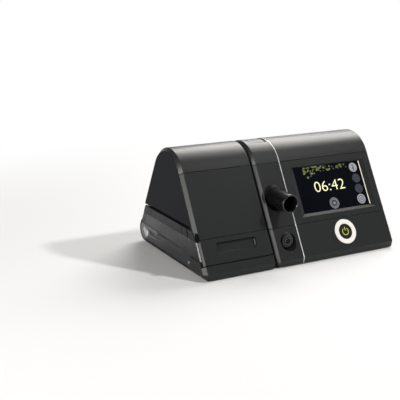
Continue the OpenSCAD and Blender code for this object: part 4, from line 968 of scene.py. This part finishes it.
def cross_screw(tree, given):
    """Screw with its shank, and two crossed slots cut into the underside of its head."""
    head = drum(tree, 32, given["Head radius"], given["Head height"])
    slot = bar(tree, given["Recess length"], given["Recess width"], given["Head height"])
    crossed = [moved(slot, given["Head height"] * -0.6, turn)
               for turn in (RECESS_TURN, RECESS_TURN + pi / 2)]
    cut = wire(tree, "GeometryNodeMeshBoolean", {"operation": "DIFFERENCE", "solver": "EXACT"},
               {"Mesh 1": head, "Mesh 2": crossed})
    shank = moved(drum(tree, 24, given["Shank radius"], given["Shank length"]),
                  given["Shank length"] * 0.5)
    return at_points(given["Geometry"], gathered(tree, [cut, shank]))


def tread_foot(tree, given):
    """Rubber foot: a flat pad with raised rings on its underside."""
    pad = moved(drum(tree, 48, given["Foot radius"], given["Pad height"]),
                given["Pad height"] * 0.5 + given["Tread height"])
    rings = []
    for share in (0.92, 0.62, 0.32):
        round_way = wire(tree, "GeometryNodeCurvePrimitiveCircle", {},
                         {"Resolution": 40, "Radius": given["Foot radius"] * share})
        rings.append(moved(bead_round(tree, round_way, given["Tread height"]),
                           given["Tread height"]))
    return at_points(given["Geometry"], gathered(tree, [pad, *rings]))


def points(xs, ys, z):
    spots = bmesh.new()
    for x in xs:
        for y in ys:
            spots.verts.new((x * MM, y * MM, z * MM))
    return spots


for node, (xs, ys) in SCREWS.items():
    low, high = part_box(node)
    sizes = {"Head radius": 2.6 * MM, "Head height": HEAD_HEIGHT * MM,
             "Recess length": 3.2 * MM, "Recess width": 0.6 * MM, "Shank radius": 1.4 * MM,
             "Shank length": high[2] - low[2] - HEAD_HEIGHT / 2 * MM}
    head_middle = low[2] / MM + HEAD_HEIGHT / 2
    screws = grown(node, points(xs, ys, head_middle), steel, sizes, cross_screw)
    piece(node + "_set", screws, steel, node, 0)
for node, (xs, ys) in FEET.items():
    sizes = {"Foot radius": 6.5 * MM, "Pad height": 1.2 * MM, "Tread height": 0.3 * MM}
    feet = grown(node, points(xs, ys, 0), rubber, sizes, tread_foot)
    piece(node + "_set", feet, rubber, node, 0)

# Base shells: deep trays moulded in black polymer, with bosses for the screws and seats for
# the feet. A flat side plate snaps into the right end of the therapy unit's tray.
kept("humidifier_base", casing)
for name in ("unit_base", "right_side_plate"):
    kept(name, dark)

# Docking: two moulded walls that meet in the gap, with a block of sprung contacts and two
# rubber air seals between them. A hook on a coil spring holds the humidifier in place.
duct = finish("duct_plastic", (0.1, 0.105, 0.11), 0.5, grain=0.2)
for name in ("docking_wall", "humidifier_docking_wall", "docking_connector"):
    kept(name, dark)
for name, paint in (("docking_seals", rubber), ("latch_hook", duct), ("latch_spring", steel)):
    kept(name, paint)

# Back: a moulded cover with cooling slots, each with a thin rim that stiffens its edge, an air
# filter of felt behind a small door on a steel pin, and the inlet for low-voltage power.
SLOT_COUNT, SLOT_FIRST, SLOT_PITCH, SLOT_T = 9, -14.25, 7, 44


def back_frame(x, t):
    """Frame on the sloping back: x across, y up the slope, z out of the back."""
    return frame_at(x, on_back(t)[0], -BACK_DOWN, BACK_OUT)


def slot_rims(tree, given):
    outline = wire(tree, "GeometryNodeCurvePrimitiveQuadrilateral", {},
                   {"Width": given["Slot width"], "Height": given["Slot length"]})
    soft = wire(tree, "GeometryNodeFilletCurve", {"mode": "POLY"},
                {"Curve": outline, "Radius": given["Corner"], "Count": 4})
    return at_points(given["Geometry"], bead_round(tree, soft, given["Rim"]),
                     Rotation=vector(tree, x=given["Tilt"]))


for name in ("rear_cover", "filter_door", "power_inlet"):
    kept(name, dark)
kept("door_hinge_pin", steel)
felt = finish("filter_felt", (0.7, 0.71, 0.72), 0.95, grain=1.0, grain_size=0.6)
kept("filter_pad", felt)
slot_places = bmesh.new()
for k in range(SLOT_COUNT):
    slot_places.verts.new(back_frame(SLOT_FIRST + SLOT_PITCH * k, SLOT_T) @ Vector((0, 0, 0.05)))
rims = grown("slot_rims", slot_places, casing,
             {"Slot width": 3.5 * MM, "Slot length": 26.5 * MM, "Corner": 0.8 * MM,
              "Rim": 0.34 * MM, "Tilt": BACK_ANGLE - pi / 2}, slot_rims)
piece("cooling_slot_rims", rims, casing, None, 0)

# Memory card: a thin card of blue polymer that slides into a moulded guide behind the slit in
# the right side plate. The guide is clipped to the inner frame.
card = finish("card_plastic", (0.03, 0.06, 0.15), 0.35, grain=0.1)
kept("card_slot", dark)
kept("memory_card", card)

# Inner frame and boards: a folded sheet-steel plate carries the display module and the glass
# fibre boards, which are screwed down. The power button's switch sits on the main board.
sheet = finish("sheet_metal", (0.42, 0.43, 0.43), 0.42, grain=0.2, grain_size=0.5, rub=0.2,
               Metallic=1.0)
board = finish("circuit_board", (0.015, 0.09, 0.04), 0.4, grain=0.2, grain_size=1.2)
wheel = finish("wheel_plastic", (0.66, 0.66, 0.62), 0.4, grain=0.1)
for name, paint in (("chassis_plate", sheet), ("display_module", sheet), ("main_board", board),
                    ("power_board", board), ("power_switch", wheel), ("flow_sensor", duct)):
    kept(name, paint)

# Blower and air path: a moulded snail housing with a pale bladed wheel and a drum motor, hung
# on rubber mounts. Two ducts join it to the ports, and a foam block hushes its intake.
foam = finish("foam", (0.07, 0.07, 0.075), 0.95, grain=1.0, grain_size=1.5)
for name, paint in (("blower_housing", duct), ("impeller", wheel), ("blower_motor", sheet),
                    ("blower_mounts", rubber), ("supply_duct", duct), ("return_duct", duct),
                    ("silencer_foam", foam)):
    kept(name, paint)

# Heater: a pressed metal plate in the humidifier's base that warms the chamber's floor, and
# the small board under it that drives it.
kept("heater_plate", sheet)
kept("heater_board", board)
